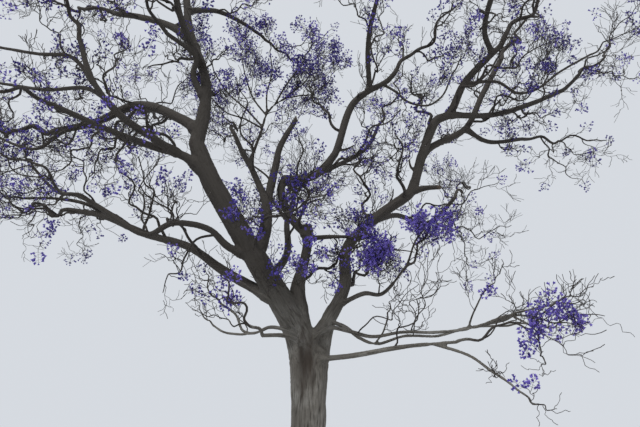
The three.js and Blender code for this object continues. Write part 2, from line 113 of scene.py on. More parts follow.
# The solids' boughs: what each is on and where, its diameters, and legs of length, heading and climb
BOUGHS = {
    "left_leader": {
        "on": "trunk", "at": 1.8, "girths": (0.5, 0.46, 0.41, 0.37, 0.3),
        "legs": [(0.9, 187, 62), (1.7, 196, 57), (1.35, 203, 57), (0.65, 205, 66)],
    },
    "right_leader": {
        "on": "trunk", "at": 1.9, "girths": (0.29, 0.24, 0.21, 0.2, 0.19),
        "legs": [
            (0.7, 10, 55), (0.65, 10, 65), (0.75, 0, 85),
            (0.9, 350, 45), (0.8, 350, 35), (0.2, 0, 60),
        ],
    },
    "centre_stem": {
        "on": "trunk", "at": 1.9, "girths": (0.32, 0.3, 0.28, 0.18, 0.175, 0.17, 0.16, 0.165),
        "legs": [
            (0.6, 160, 75), (0.5, 150, 80), (0.6, 45, 75), (0.5, 0, 85),
            (0.6, 180, 55), (0.6, 180, 70), (0.35, 0, 75),
        ],
    },
    "left_leader_top": {
        "on": "left_leader", "at": "tip", "girths": (0.3, 0.22, 0.17, 0.15),
        "legs": [(0.9, 0, 84), (0.6, 230, 84), (1.45, 180, 71), (1.0, 180, 80)],
    },
    "left_low_bough": {
        "on": "left_leader", "at": 1.1, "girths": (0.21, 0.16, 0.15, 0.11),
        "legs": [(1.4, 165, 30), (1.0, 165, 35), (1.15, 165, 20), (1.3, 165, 25), (0.9, 165, 15)],
    },
    "left_drooping_bough": {
        "on": "left_leader", "at": 1.65, "girths": (0.16, 0.12, 0.1, 0.07),
        "legs": [(0.6, 200, 20), (0.45, 210, 35), (0.65, 210, 0), (0.65, 230, -35), (0.85, 205, 25)],
    },
    "left_long_bough": {
        "on": "left_leader", "at": 2.9, "girths": (0.2, 0.14, 0.095),
        "legs": [(0.6, 205, 35), (0.55, 200, 10), (0.85, 195, 15), (1.2, 195, 20)],
    },
    "left_front_bough": {
        "on": "left_long_bough", "at": 1.3, "girths": (0.15, 0.14, 0.11, 0.08),
        "legs": [(0.65, 235, 5), (0.7, 240, 5), (0.65, 230, 35), (0.85, 215, 65)],
    },
    "left_arch_bough": {
        "on": "left_leader_top", "at": 0.3, "girths": (0.22, 0.2, 0.17, 0.14),
        "legs": [(0.6, 160, 40), (1.35, 160, 28), (1.3, 155, -4), (1.05, 165, -3)],
    },
    "left_back_bough": {
        "on": "left_arch_bough", "at": 1.9, "girths": (0.13, 0.1, 0.075),
        "legs": [(1.2, 115, 25), (1.2, 95, 35), (0.8, 105, 20)],
    },
    "top_front_bough": {
        "on": "left_leader_top", "at": 1.1, "girths": (0.13, 0.11, 0.08),
        "legs": [(0.6, 225, 55), (0.35, 290, 55), (0.75, 235, 5)],
    },
    "top_forward_bough": {
        "on": "left_leader_top", "at": 2.2, "girths": (0.14, 0.11, 0.08),
        "legs": [(1.3, 260, 15), (1.3, 275, 20), (0.9, 265, 10)],
    },
    "top_left_bough": {
        "on": "left_leader_top", "at": 2.6, "girths": (0.18, 0.15, 0.12),
        "legs": [(1.25, 150, 50), (1.15, 165, 30), (0.7, 160, 25)],
    },
    "top_right_bough": {
        "on": "left_leader_top", "at": 3.5, "girths": (0.13, 0.1, 0.08),
        "legs": [(0.85, 45, 35), (1.0, 60, 25), (0.7, 50, 5)],
    },
    "inner_stem": {
        "on": "left_leader", "at": 1.7, "girths": (0.24, 0.22, 0.2),
        "legs": [(0.6, 30, 70), (0.5, 95, 80), (0.3, 65, 80)],
    },
    "inner_front_bough": {
        "on": "inner_stem", "at": 0.9, "girths": (0.09, 0.075, 0.06),
        "legs": [(0.45, 270, 5), (0.3, 300, 0)],
    },
    "broken_stub": {
        "on": "inner_stem", "at": "tip", "girths": (0.18, 0.15, 0.13, 0.095),
        "legs": [(0.75, 25, 80), (0.45, 0, 80), (0.8, 0, 65)],
    },
    "inner_back_bough": {
        "on": "inner_stem", "at": 2.4, "girths": (0.15, 0.12, 0.09),
        "legs": [(0.65, 125, 55), (0.75, 130, 57), (0.65, 130, 53), (0.8, 135, 60), (0.9, 110, 40)],
    },
    "back_bough": {
        "on": "left_leader", "at": 1.4, "girths": (0.17, 0.13, 0.095),
        "legs": [(1.3, 75, 40), (1.5, 95, 50), (1.5, 85, 45), (1.1, 95, 35)],
    },
    "centre_bough": {
        "on": "centre_stem", "at": 6.7, "girths": (0.17, 0.165, 0.15, 0.11),
        "legs": [(0.65, 350, 5), (0.6, 335, 40), (1.2, 325, 65), (0.85, 345, 30)],
    },
    "centre_back_bough": {
        "on": "centre_bough", "at": 0.7, "girths": (0.115, 0.1, 0.075),
        "legs": [(1.1, 45, 35), (1.55, 45, 40), (1.05, 45, 60)],
    },
    "centre_front_bough": {
        "on": "centre_bough", "at": 3.5, "girths": (0.11, 0.095, 0.075),
        "legs": [(1.0, 265, 45), (1.2, 280, 25)],
    },
    "centre_short_bough": {
        "on": "centre_stem", "at": 4, "girths": (0.1, 0.08, 0.06),
        "legs": [(0.6, 320, -10), (0.35, 330, -10)],
    },
    "right_upper_bough": {
        "on": "right_leader", "at": "tip", "girths": (0.19, 0.19, 0.16, 0.12),
        "legs": [(0.9, 5, 72), (0.7, 340, 64), (0.3, 340, 22), (0.78, 330, 58), (1.0, 330, 37)],
    },
    "right_tall_bough": {
        "on": "right_leader", "at": 5.5, "girths": (0.15, 0.14, 0.13, 0.12),
        "legs": [(1.1, 25, 65), (1.15, 10, 35), (1.2, 20, 60), (1.45, 15, 60)],
    },
    "right_outer_bough": {
        "on": "right_upper_bough", "at": 2.9, "girths": (0.13, 0.11, 0.095),
        "legs": [(1.1, 15, 10), (0.95, 5, 20), (0.9, 0, 25)],
    },
    "right_low_bough": {
        "on": "right_tall_bough", "at": 2, "girths": (0.12, 0.09, 0.08),
        "legs": [(0.55, 10, -30), (0.9, 10, 10)],
    },
    "right_front_bough": {
        "on": "right_upper_bough", "at": 4.8, "girths": (0.12, 0.1, 0.075),
        "legs": [(0.5, 235, 40), (1.0, 275, 30), (1.2, 290, 20), (0.7, 280, 15)],
    },
    "right_back_bough": {
        "on": "right_leader", "at": 3.8, "girths": (0.12, 0.1, 0.075),
        "legs": [(1.1, 50, 25), (1.05, 40, 5), (1.25, 35, 40), (1.2, 65, 35)],
    },
    "low_forward_bough": {
        "on": "right_leader", "at": 1.3, "girths": (0.095, 0.075, 0.05),
        "legs": [(0.65, 325, 15), (0.35, 325, -10), (0.6, 320, 35)],
    },
    "low_right_bough": {
        "on": "trunk", "at": 1.75, "girths": (0.1, 0.08, 0.05),
        "legs": [(0.85, 325, 0), (0.95, 330, 5), (0.9, 325, 0)],
    },
    "low_left_bough": {
        "on": "trunk", "at": 1.85, "girths": (0.095, 0.08, 0.06),
        "legs": [(0.65, 240, 15), (0.65, 230, -5)],
    },
}

# Smaller boughs that only the drawn tree has: crooked ones about the fork, thin ones in the crown
SMALL_BOUGHS = {
    "inner_middle_bough": {
        "on": "inner_back_bough", "at": 2.2, "girths": (0.08, 0.06, 0.05, 0.04),
        "legs": [(0.57, 41, 74), (0.54, 45, 74), (0.35, 337, 75), (0.36, 355, 56), (0.37, 3, 35)],
    },
    "fan_low_left": {
        "on": "inner_middle_bough", "at": 2.0, "girths": (0.045, 0.035, 0.025),
        "legs": [(0.53, 221, 5), (0.46, 222, -6), (0.43, 227, 23)],
    },
    "fan_left": {
        "on": "inner_middle_bough", "at": 2.1, "girths": (0.05, 0.04, 0.03),
        "legs": [(0.87, 152, 52), (0.78, 171, 47), (0.72, 187, 59)],
    },
    "fan_middle_left": {
        "on": "inner_middle_bough", "at": 3.0, "girths": (0.045, 0.035, 0.025),
        "legs": [(0.73, 154, 57), (0.89, 144, 68), (0.77, 144, 75)],
    },
    "fan_middle": {
        "on": "inner_middle_bough", "at": 3.1, "girths": (0.045, 0.035, 0.025),
        "legs": [(0.53, 265, 78), (0.48, 296, 52), (0.53, 257, 66)],
    },
    "fan_middle_right": {
        "on": "inner_middle_bough", "at": 4.0, "girths": (0.045, 0.035, 0.025),
        "legs": [(0.45, 306, 30), (0.46, 304, 14), (0.4, 310, 24)],
    },
    "fan_right": {
        "on": "inner_middle_bough", "at": 4.5, "girths": (0.045, 0.035, 0.025),
        "legs": [(0.5, 29, 50), (0.5, 20, 52), (0.4, 340, 60)],
    },
    "fan_low_right": {
        "on": "inner_middle_bough", "at": 4.9, "girths": (0.04, 0.03, 0.022),
        "legs": [(0.35, 336, -5), (0.35, 335, -10), (0.3, 335, 25)],
    },
    "right_middle_bough": {
        "on": "right_upper_bough", "at": 3.95, "girths": (0.07, 0.06, 0.05, 0.04),
        "legs": [(0.67, 340, -11), (0.46, 1, -36), (0.38, 356, 9), (0.7, 354, 36), (0.79, 355, 30)],
    },
    "centre_loop_bough": {
        "on": "centre_bough", "at": 3.85, "girths": (0.055, 0.045, 0.035),
        "legs": [(0.34, 4, -33), (0.34, 0, -47), (0.42, 4, -10), (0.42, 0, 37), (0.51, 339, 63)],
    },
    "centre_shoot": {
        "on": "centre_stem", "at": 2.2, "girths": (0.045, 0.035, 0.025),
        "legs": [(0.57, 270, -7), (0.42, 280, -6)],
    },
    "left_middle_bough": {
        "on": "back_bough", "at": 2.0, "girths": (0.08, 0.06, 0.045),
        "legs": [(0.8, 150, 55), (0.7, 120, 70), (0.8, 150, 45)],
    },
    "left_high_bough": {
        "on": "left_front_bough", "at": 2.95, "girths": (0.085, 0.07, 0.055, 0.045),
        "legs": [(0.75, 180, 48), (0.6, 178, 8), (0.8, 185, 8)],
    },
    "left_level_bough": {
        "on": "left_front_bough", "at": 2.6, "girths": (0.08, 0.065, 0.05),
        "legs": [(0.5, 165, 30), (0.6, 180, -4), (0.9, 175, 12)],
    },
    "left_lower_arch_bough": {
        "on": "left_arch_bough", "at": 2.8, "girths": (0.1, 0.08, 0.065, 0.05),
        "legs": [(0.9, 185, -26), (0.55, 180, -44), (0.35, 178, 2), (0.85, 178, 24)],
    },
    "left_low_rising_bough": {
        "on": "left_low_bough", "at": 3.4, "girths": (0.12, 0.105, 0.085, 0.06),
        "legs": [(0.7, 172, 34), (0.9, 170, 30), (0.55, 170, 14), (1.0, 176, 42)],
    },
    "left_low_upper_bough": {
        "on": "left_low_bough", "at": 3.7, "girths": (0.09, 0.075, 0.055),
        "legs": [(1.1, 160, 30), (0.85, 168, 14), (0.85, 172, 4)],
    },
    "left_leader_shoot": {
        "on": "left_leader", "at": 1.75, "girths": (0.055, 0.045, 0.03),
        "legs": [(0.83, 290, 28), (0.26, 257, -14)],
    },
    "right_leader_shoot": {
        "on": "right_leader", "at": 2.6, "girths": (0.05, 0.04, 0.03),
        "legs": [(0.45, 270, -6), (0.41, 288, 3)],
    },
    "low_crooked_bough": {
        "on": "right_leader", "at": 0.85, "girths": (0.075, 0.06, 0.05, 0.045, 0.035),
        "legs": [
            (0.45, 318, -22), (0.35, 330, -38), (0.3, 352, -20), (0.5, 340, 12),
            (0.6, 330, -4), (0.5, 350, 14), (0.6, 335, -2),
        ],
    },
    "low_outer_bough": {
        "on": "trunk", "at": 1.95, "girths": (0.085, 0.07, 0.055, 0.05, 0.04),
        "legs": [
            (0.55, 318, 22), (0.35, 345, -12), (0.45, 330, -16), (0.5, 345, 6),
            (0.55, 332, -5), (0.5, 350, 4), (0.6, 330, 8),
        ],
    },
    "low_left_crooked_bough": {
        "on": "trunk", "at": 1.95, "girths": (0.08, 0.065, 0.055, 0.045, 0.04),
        "legs": [
            (0.5, 225, 18), (0.35, 195, 8), (0.3, 215, -24),
            (0.25, 160, 12), (0.3, 200, 62), (0.35, 170, 35),
        ],
    },
    "low_left_hook": {
        "on": "low_left_crooked_bough", "at": 2.9, "girths": (0.045, 0.04, 0.03),
        "legs": [(0.25, 190, -8), (0.3, 182, 6), (0.25, 170, 30)],
    },
    "low_left_upper_bough": {
        "on": "trunk", "at": 1.95, "girths": (0.07, 0.055, 0.045, 0.035),
        "legs": [(0.63, 227, 28), (0.27, 216, 38), (0.28, 222, 44), (0.26, 192, 26), (0.25, 195, 31)],
    },
    "low_cluster_bough": {
        "on": "low_outer_bough", "at": 6.2, "girths": (0.045, 0.035, 0.028),
        "legs": [(0.54, 321, 13), (0.38, 311, 5), (0.37, 311, 2)],
    },
    "low_cluster_shoot": {
        "on": "low_cluster_bough", "at": 1.2, "girths": (0.03, 0.025, 0.02),
        "legs": [(0.43, 320, -39), (0.27, 278, -79)],
    },
    "low_forward_shoot": {
        "on": "low_forward_bough", "at": 2.7, "girths": (0.045, 0.035, 0.028),
        "legs": [(0.35, 316, 45), (0.37, 312, 60), (0.34, 330, 49)],
    },
    "low_middle_shoot": {
        "on": "low_crooked_bough", "at": 2.9, "girths": (0.035, 0.03, 0.025),
        "legs": [(0.26, 302, 32), (0.32, 293, 46)],
    },
    "low_upper_shoot": {
        "on": "low_crooked_bough", "at": 6.0, "girths": (0.035, 0.03, 0.025),
        "legs": [(0.25, 288, 48), (0.32, 295, 45)],
    },
    "low_hanging_bough": {
        "on": "low_right_bough", "at": 2.6, "girths": (0.05, 0.04, 0.03),
        "legs": [(0.59, 327, -22), (0.34, 331, -39), (0.29, 322, -37), (0.18, 334, -44)],
    },
}

# Broken ends of side limbs
SNAGS = {
    "centre_sawn_stub": {
        "on": "centre_stem", "at": 4.05, "girths": (0.18, 0.175, 0.18),
        "legs": [(0.16, 0, 86), (0.1, 0, 88)],
    },
    "right_snag": {
        "on": "right_leader", "at": 5.2, "girths": (0.12, 0.1, 0.085),
        "legs": [(0.3, 340, 5), (0.3, 325, -12)],
    },
    "centre_snag": {
        "on": "centre_bough", "at": 2.1, "girths": (0.06, 0.045, 0.03),
        "legs": [(0.25, 20, 20), (0.2, 5, 32)],
    },
    "leader_snag": {
        "on": "right_upper_bough", "at": 0.35, "girths": (0.06, 0.05, 0.03),
        "legs": [(0.2, 150, 50), (0.22, 120, 80)],
    },
}

# The solids' masses of twigs: the bough, the radius of the mass's space, and the way to its middle
MASSES = {
    "crown_top_twigs": ("left_leader_top", 1.8, 190, 80),
    "left_arch_twigs": ("left_arch_bough", 2.0, 170, 20),
    "left_back_twigs": ("left_back_bough", 1.8, 110, 25),
    "left_long_twigs": ("left_long_bough", 1.8, 195, 15),
    "left_front_twigs": ("left_front_bough", 1.8, 235, 45),
    "left_low_twigs": ("left_low_bough", 1.7, 160, 0),
    "left_drooping_twigs": ("left_drooping_bough", 1.4, 205, 15),
    "top_front_twigs": ("top_front_bough", 1.5, 240, 20),
    "top_forward_twigs": ("top_forward_bough", 1.9, 265, 25),
    "top_left_twigs": ("top_left_bough", 2.0, 165, 30),
    "top_right_twigs": ("top_right_bough", 1.7, 50, -20),
    "inner_front_twigs": ("inner_front_bough", 1.0, 340, -10),
    "inner_back_twigs": ("inner_back_bough", 1.6, 110, 35),
    "back_twigs": ("back_bough", 1.9, 90, 35),
    "centre_twigs": ("centre_bough", 1.5, 340, 45),
    "centre_back_twigs": ("centre_back_bough", 1.6, 45, 50),
    "centre_front_twigs": ("centre_front_bough", 1.7, 270, 30),
    "centre_short_twigs": ("centre_short_bough", 0.9, 330, -20),
    "right_upper_twigs": ("right_upper_bough", 1.7, 320, 50),
    "right_tall_twigs": ("right_tall_bough", 1.9, 25, 55),
    "right_outer_twigs": ("right_outer_bough", 1.9, 355, 30),
    "right_low_twigs": ("right_low_bough", 1.5, 10, 0),
    "right_front_twigs": ("right_front_bough", 1.9, 285, 20),
    "right_back_twigs": ("right_back_bough", 1.8, 70, 30),
    "low_forward_twigs": ("low_forward_bough", 0.9, 325, 50),
    "low_right_twigs": ("low_right_bough", 1.3, 335, 12),
    "low_left_twigs": ("low_left_bough", 1.0, 215, 55),
}
MIDDLE_AHEAD = 0.75
SPACE_HEIGHT = 0.85
USUAL_BLOOM = 0.4
LOOSE_BLOOM = {  # the share in blossom outside the thick clusters, where it isn't the usual one
    "top_right_twigs": 0.8, "inner_back_twigs": 0.55, "back_twigs": 0.35, "inner_front_twigs": 0.25,
    "centre_short_twigs": 0.25, "low_forward_twigs": 0.12, "low_right_twigs": 0.04,
    "low_left_twigs": 0.1, "left_drooping_twigs": 0.3, "left_low_twigs": 0.3,
    "fan_left": 0.8, "fan_middle_left": 0.85, "fan_middle": 0.8, "fan_middle_right": 0.85,
    "fan_right": 0.9, "fan_low_left": 0.6, "fan_low_right": 0.7, "back_bough": 0.2,
    "left_middle_bough": 0.3, "centre_stem": 0.2, "inner_front_bough": 0.15,
}
SPACE_GAP = 0.06
LIMB_GAP = 0.025
LIMB_SAMPLES = 4  # straight pieces to a leg, which twigs are kept clear of
WAY_OUT_STEPS = 200  # along a bough, to find where it leaves its parent

# Where the photograph shows the blossom thickest: X, Y, Z and how far it spreads
THICK_BLOSSOM = (
    (-0.72, -0.95, 4.83, 0.32), (-0.2, -1.2, 4.85, 0.12), (0.3, -1.3, 4.75, 0.14),
    (0.72, -1.1, 4.75, 0.14), (1.0, -0.95, 4.52, 0.2), (1.3, -0.95, 4.32, 0.27),
    (2.2, -1.2, 4.7, 0.38), (1.7, -1.0, 4.65, 0.2), (-1.18, -1.6, 3.78, 0.33),
    (-1.09, -1.47, 3.45, 0.22), (0.0, -0.95, 3.95, 0.26), (1.45, -1.0, 3.25, 0.2),
    (2.9, -1.4, 3.5, 0.24), (3.58, -2.0, 3.06, 0.37), (4.12, -1.85, 2.87, 0.26),
    (3.45, -2.05, 2.55, 0.25), (3.18, -1.94, 2.03, 0.3),
)
THICK_SHARE = 0.85
MORE_IN_THICK = 1.5  # fine twigs, against elsewhere

# The growth rule of the solids: lengths are shares of the reach, leans are from the carrying twig
STEM = {"length": 1.45, "steps": 3, "bend": 0.22, "lift": 0.05}
SIDE_TWIGS = [
    {
        "count": 5, "first": 0.12, "last": 0.92, "length": 0.95, "lean": 58,
        "steps": 2, "bend": 0.22, "lift": 0.12,
    },
    {
        "count": 2, "first": 0.35, "last": 0.8, "length": 0.5, "lean": 45,
        "steps": 1, "bend": 0.2, "lift": 0.12,
    },
]
USUAL_REACH = 1.8
LEAN_SPREAD = 14
LENGTH_AT_FOOT = 1.15
LENGTH_AT_TIP = 0.7
LENGTH_SPREAD = 0.2
FITTED_AT = (0.4, 0.7, 1.0)
TRIES = 6
TRY_TURN = 100
TRY_SHORTER = 0.1
TWIG_TAPER = 0.3
STEM_FOOT = 0.9
SIDE_TWIG_FOOT = 0.62
THINNEST_SOLID = 0.007

# The rule carried on to finer twigs, on every twig of the solids' rule and on each other
FINE_TWIGS = [
    {
        "count": 4, "first": 0.2, "last": 0.98, "length": 0.3, "lean": 48,
        "steps": 5, "bend": 0.36, "lift": 0.16,
    },
    {
        "count": 2, "first": 0.3, "last": 0.95, "length": 0.15, "lean": 42,
        "steps": 2, "bend": 0.36, "lift": 0.14,
    },
]
FINEST_KEPT = 0.78
FINE_FOOT = (0.009, 0.006)  # radii
FINE_TIP = (0.006, 0.004)

# Side branches along the outer part of each bough; they carry twigs, and those carry finer ones
BRANCH = {
    "first": 0.25, "last": 0.97, "length": 1.15, "lean": 54, "steps": 6, "bend": 0.3, "lift": 0.06,
}
BRANCH_TWIGS = {
    "count": 5, "first": 0.2, "last": 0.93, "length": 0.42, "lean": 48,
    "steps": 4, "bend": 0.36, "lift": 0.14,
}
BRANCH_SPACING = 0.8
LOW_SPACING = 1.6
SHOOT_SPACING = 0.38
USUAL_KEPT = 0.25  # of the fine twigs on the low boughs and masses outside their blossom
FINE_KEPT = {
    "left_low_twigs": 0.55, "left_drooping_twigs": 0.55,
    "left_low_bough": 0.6, "left_drooping_bough": 0.5,
}
BELOW_BOUGH = 0.05  # how far a low bough's twigs come below it
BARE_BELOW = 3.3  # no side branch grows lower than this so near the trunk's axis
BARE_ROUND_TRUNK = 1.1
END_TWIG = {"length": 0.8, "steps": 4, "bend": 0.3, "lift": 0.08}
BRANCH_FOOT = 0.42  # against the bough there
BRANCH_THICKEST = 0.038
BRANCH_TAPER = 0.32
SHORTEST_REACH = 0.8
REACH_OF_BOUGH = 0.5  # a branch's reach against its bough's length

# How the twigs are drawn, by level
POINTS_DRAWN = {0: 33, 1: 25, 2: 14, 3: 7, 4: 3}
SIDES_DRAWN = {0: 7, 1: 6, 2: 4, 3: 3, 4: 3}
SWAY = {0: 0.05, 1: 0.055, 2: 0.065, 3: 0.05, 4: 0.0}  # sideways, as a share of the twig's length
SWAY_FULLNESS = 0.7  # the less, the sooner a twig sways in full past its foot
SWAY_TURNS = (1.2, 1.6)  # the fewest, and by how many more it may be
QUICK_SWAY = 0.28  # of a second, quicker sway, against the first
QUICKER = 2.3

# The panicles: each tier has two branchlets with flowers, the lowest tier the longest
PANICLE_KINDS = 6
FULL_KINDS = 2  # the rest have fewer flowers
PANICLE_TIERS = 5
FLOWERS_BY_TIER = (3, 2, 2, 2, 1)
FEWER_BY_TIER = (2, 1, 1, 1, 1)
TIER_HEIGHTS = (0.1, 0.9)
TIER_REACHES = (0.4, 0.1)
BRANCHLET_RISE = (0.35, 0.2)  # the usual one, and how far it swings
BRANCHLET_TURN = 0.5
FLOWER_APART = 0.28  # of the branchlet, between its flowers
FLOWER_SCATTER = 0.05
FLOWER_TILT = 0.9
FLOWER_DROOP = -0.15
TOP_FLOWER = 0.95
TOP_FLOWER_WAY = (0.1, 0.1, 1.0)
STALK_RADIUS = 0.0022
PANICLE_LIFT = 0.25
PANICLE_SPREAD = 0.25
PANICLE_SUNK = 0.02
FLOWER_SPREAD = 0.15
SHADES_IN_THICK = (0.7, 1.0)  # the shares up to which a spray is pale, and middle; thick clusters get mostly the pale shade and the rest mostly the deep one, partly each spray's own tone and partly painted shade of the backlit crown
BACKLIT_SHADES_ELSEWHERE = (0.2, 0.58)

# A flower of unit length: radius and height of its throat, its five lobes and the notches between them
THROAT = (0.13, 0.38)
LOBE = (0.46, 0.98)
NOTCH = (0.24, 0.84)

# Which of a seed's numbers decides what; a twig's bends take the ones from 0 on
FOR_MASS = 7
FOR_LEAN = 40
FOR_LENGTH = 41
FOR_TURN = 50
FOR_SPRAY_SIZE = 60
FOR_BLOOM = 61
FOR_SWAY = 70
FOR_ROLL = 75
FOR_SHADE = 80
FOR_THINNING = 85
FOR_SIDE_TWIG = 100
FOR_FINE_TWIG = 300
FOR_BRANCH = 500
BRANCHLET_SEEDS = 20
FLOWER_SEEDS = 40

# The bark's pieces. Limbs named here share one skin; other boughs go by the side that they grow on.
LEADERS = (
    "left_leader", "left_leader_top", "right_leader", "right_upper_bough",
    "centre_stem", "inner_stem", "broken_stub", "right_snag", "centre_sawn_stub", "leader_snag",
)
FORK = ("left_leader", "right_leader", "centre_stem")
SPLINTERS = 0.05
TORN_ENDS = {  # degrees off square
    "broken_stub": 58, "right_snag": 40, "centre_snag": 35, "leader_snag": 30,
}
RING_STEP = 0.06  # along a limb before its skin is made
RING_SIDES = 20
THINNEST_TUBE = 0.023  # before the skin is drawn in to its true radius
COLLAR = 0.4  # how much a side bough widens where it leaves its parent
COLLAR_REACH = 1.1  # in radii of the bough
CORE_DIP = 0.45
CORE_DIPS_FROM = 2.4
FORK_ROUNDED = ((0.1, 0, 2.95), 0.62, 60)  # round this place, so far from it, in so many passes
TAIL = 0.35  # of the twig at a bough's tip that the bough's bark runs on along
TAIL_FALL = 0.25
LEADER_FOOT = 0.85  # how thin a leader starts inside the trunk
LEADER_FOOT_LENGTH = 0.4
ROOT_HEIGHTS = (0.4, 0.68)  # shares of the trunk that a leader's root passes
ROOT_GIRTH = 0.72  # of the leader's, where its root begins
ROOT_SHOWS = 0.31  # how far from the trunk's middle a root's bark comes
ROOT_JOINS = (0.6, 1.0)  # lengths along the leader
ROOT_FOOT_OUT = 0.8  # of the way out to where a root shows
ROOT_TOP_GIRTH = 0.97
ROOT_GIRTHS_AT = (0, 0.33, 0.66, 1)
ROOT_RINGS = 40
STUB_LENGTH = 0.4  # of a bough, beyond its parent's surface, that the parent's skin takes in
STUB_IN_RADII = 3.2
LONGEST_STUB = 0.5  # of the bough
NEAR_FOOT = 0.1  # the share of a bough where its radius at the foot is read
SEAM_LENGTH = 0.3  # over which the one skin dips under the other
SEAM_DIP = 0.06
NEAR_LIMB = 0.2  # a bark point further than this from a limb isn't on it
BLEND_BAND = 0.07  # between two limbs, over which one's bark passes into the other's
ALONE_FROM = 0.015  # the gap to a second limb from which a bark point counts as on one alone
AXIS_STEP = 0.03  # along a limb's axis when bark points are looked up on it
AXIS_ENDS = 0.02  # of the axis, where the skin keeps its rounded end
SKIN_SMOOTHING = 10
FAR_GAP = 9.0
TINY = 1e-9

# The bark's relief: long plates parted by furrows, with fine cracks, on a gently lumpy limb
FURROW_LENGTH = 16  # against its spacing
FURROW_SPACING = (0.022, 0.085)  # on the thinnest limb, and more by its radius
GIRTH_READ_AT = 0.4
FURROW_WAVER = (0.6, 0.3)  # how many turns to a spacing, and how wide
PLATES = (0.65, 3.1)  # their share in the relief, and how steep they are
CRACKS = (0.35, 2.8)
CRACKS_FINER = 2.1
CRACKS_FROM = Vector((9.1, 3.7, 5.3))
LIMBS_APART = 10  # between two limbs' places in the pattern
MIDDLE_HEIGHT = 0.6
THINNEST_BARK = 0.02
BARK_BY_GIRTH = 0.6
LUMPS = (2.6, 0.06)  # how many to a metre, and how high against the radius
BARE_END = (0.82, 1.6)  # the sawn or torn part of an end, across and along, in radii
SPLINTER_FINENESS = 55

# The painted shade of the hollow under the fork, with a damp stain in it, as X and Z, and how its edge
# breaks up along the grain
SHADE_STAIN_MIDDLE = (0.09, 2.62)
SHADE_STAIN_SIZE = (0.22, 0.55)
SHADE_STAIN_EDGE = (0.1, 1.35)
SHADE_STAIN_RAGGED = 0.5
SHADE_STAIN_GRAIN = (14, 14, 2.5)

# The materials' noises: scale, detail and roughness
OWN_GRAIN = (95, 6, 0.7)
OWN_STRETCH = 0.07
FORK_GRAIN = (60, 6, 0.7)
FORK_STRETCH = 0.3
OLD_PATCHES = (1.7, 5, 0.62)
TWIG_MOTTLE = (9, 4, 0.6)
TWIG_GRAIN = (160, 2)
STALK_MOTTLE = (14, 3, 0.6)
MOTTLE_FROM_TO = (0.35, 0.65)
PATCHES_FROM_TO = (0.45, 0.65)
STREAKS_FROM_TO = (0.22, 0.56)
RIDGES_FROM_TO = (0.0, 0.6)
CROWN_SHADE_FROM_TO = (2.4, 4.6)  # heights over which the trunk's colour passes into the crown's darker one, partly the younger bark's own tone and partly painted shade of the backlit crown

# The lights: heading, height in degrees and softness
KEY_FROM = (235, 48, 14)
FILL_FROM = (330, 30, 40)
SURROUND_COLOUR = (0.86, 0.9, 0.96, 1)

SIDES = ("left", "right")
TWIG_PIECES = {"branchlets": (0, 1, 2), "fine_twigs": (3,), "finest_twigs": (4,)}  # by level
BLOSSOM_SHADES = ("pale", "middle", "deep")


def mix(seed, count):
    """A whole number that depends only on a seed and a count."""
    low = 0xFFFFFFFF
    h = ((seed ^ (((count + 1) * 0x9E3779B1) & low)) * 0x85EBCA6B) & low
    h = ((h ^ (h >> 13)) * 0xC2B2AE35) & low
    return h ^ (h >> 16)


def chance(seed, count):
    return mix(seed, count) / 2**32


def swing(seed, count):
    return chance(seed, count) * 2 - 1


def unit(vector):
    return vector / np.linalg.norm(vector, axis=-1, keepdims=True)


def lerp(a, b, share):
    return a + (b - a) * share


def smooth(value, low, high):
    """0 below low, 1 above high, and a smooth rise between."""
    share = np.clip((value - low) / (high - low), 0, 1)
    return share * share * (3 - 2 * share)


def direction(heading, climb):
    h, c = math.radians(heading), math.radians(climb)
    return np.array([math.cos(c) * math.cos(h), math.cos(c) * math.sin(h), math.sin(c)])


def line_of_legs(foot, legs):
    points = [np.asarray(foot, float)]
    for length, heading, climb in legs:
        points.append(points[-1] + direction(heading, climb) * length)
    return np.array(points)


def on_curve(points, shares):
    """Points of the smooth curve through the given ones, timed by the root of their distance."""
    padded = np.vstack([2 * points[0] - points[1], points, 2 * points[-1] - points[-2]])
    place = np.clip(np.asarray(shares, float), 0, 1) * (len(points) - 1)
    leg = np.minimum(place.astype(int), len(points) - 2)
    part = (place - leg)[..., None]
    p0, p1, p2, p3 = (padded[leg + i] for i in range(4))
    d0, d1, d2 = (
        np.linalg.norm(b - a, axis=-1, keepdims=True) ** 0.5 for a, b in ((p0, p1), (p1, p2), (p2, p3))
    )
    t1 = d1 * ((p1 - p0) / d0 - (p2 - p0) / (d0 + d1) + (p2 - p1) / d1)
    t2 = d1 * ((p2 - p1) / d1 - (p3 - p1) / (d1 + d2) + (p3 - p2) / d2)
    cube = 2 * p1 - 2 * p2 + t1 + t2
    square = -3 * p1 + 3 * p2 - 2 * t1 - t2
    return p1 + part * (t1 + part * (square + part * cube))


def carried_frames(lines):
    """Ways, sides and overs along a batch of lines, turning as little as they can."""
    ways = unit(np.gradient(lines, axis=1))
    steep = np.abs(ways[:, 0, 2:]) > NEARLY_UP
    side = np.cross(ways[:, 0], np.where(steep, FRONT, UP))
    sides = []
    for way in np.moveaxis(ways, 1, 0):
        side = unit(side - way * np.sum(side * way, axis=-1, keepdims=True))
        sides.append(side)
    sides = np.stack(sides, axis=1)
    return ways, sides, np.cross(ways, sides)


def trunk_radius(share, angle=math.pi / 2 / ROOT_LOBES):
    """The trunk's radius; the angle left out gives the mean between its root lobes."""
    height = np.asarray(share) * TRUNK_LENGTH
    lobes = 1 + LOBE_DEPTH * np.cos(ROOT_LOBES * angle)
    flare = ROOT_FLARE * lobes * np.exp(-height / FLARE_HEIGHT)
    swell = FORK_SWELL * smooth(height, SWELL_FROM, DOME_FROM)
    dome = smooth(height, DOME_FROM, TRUNK_LENGTH)
    return (TRUNK_RADIUS + flare + swell) * (1 - (1 - DOME_TOP) * dome)


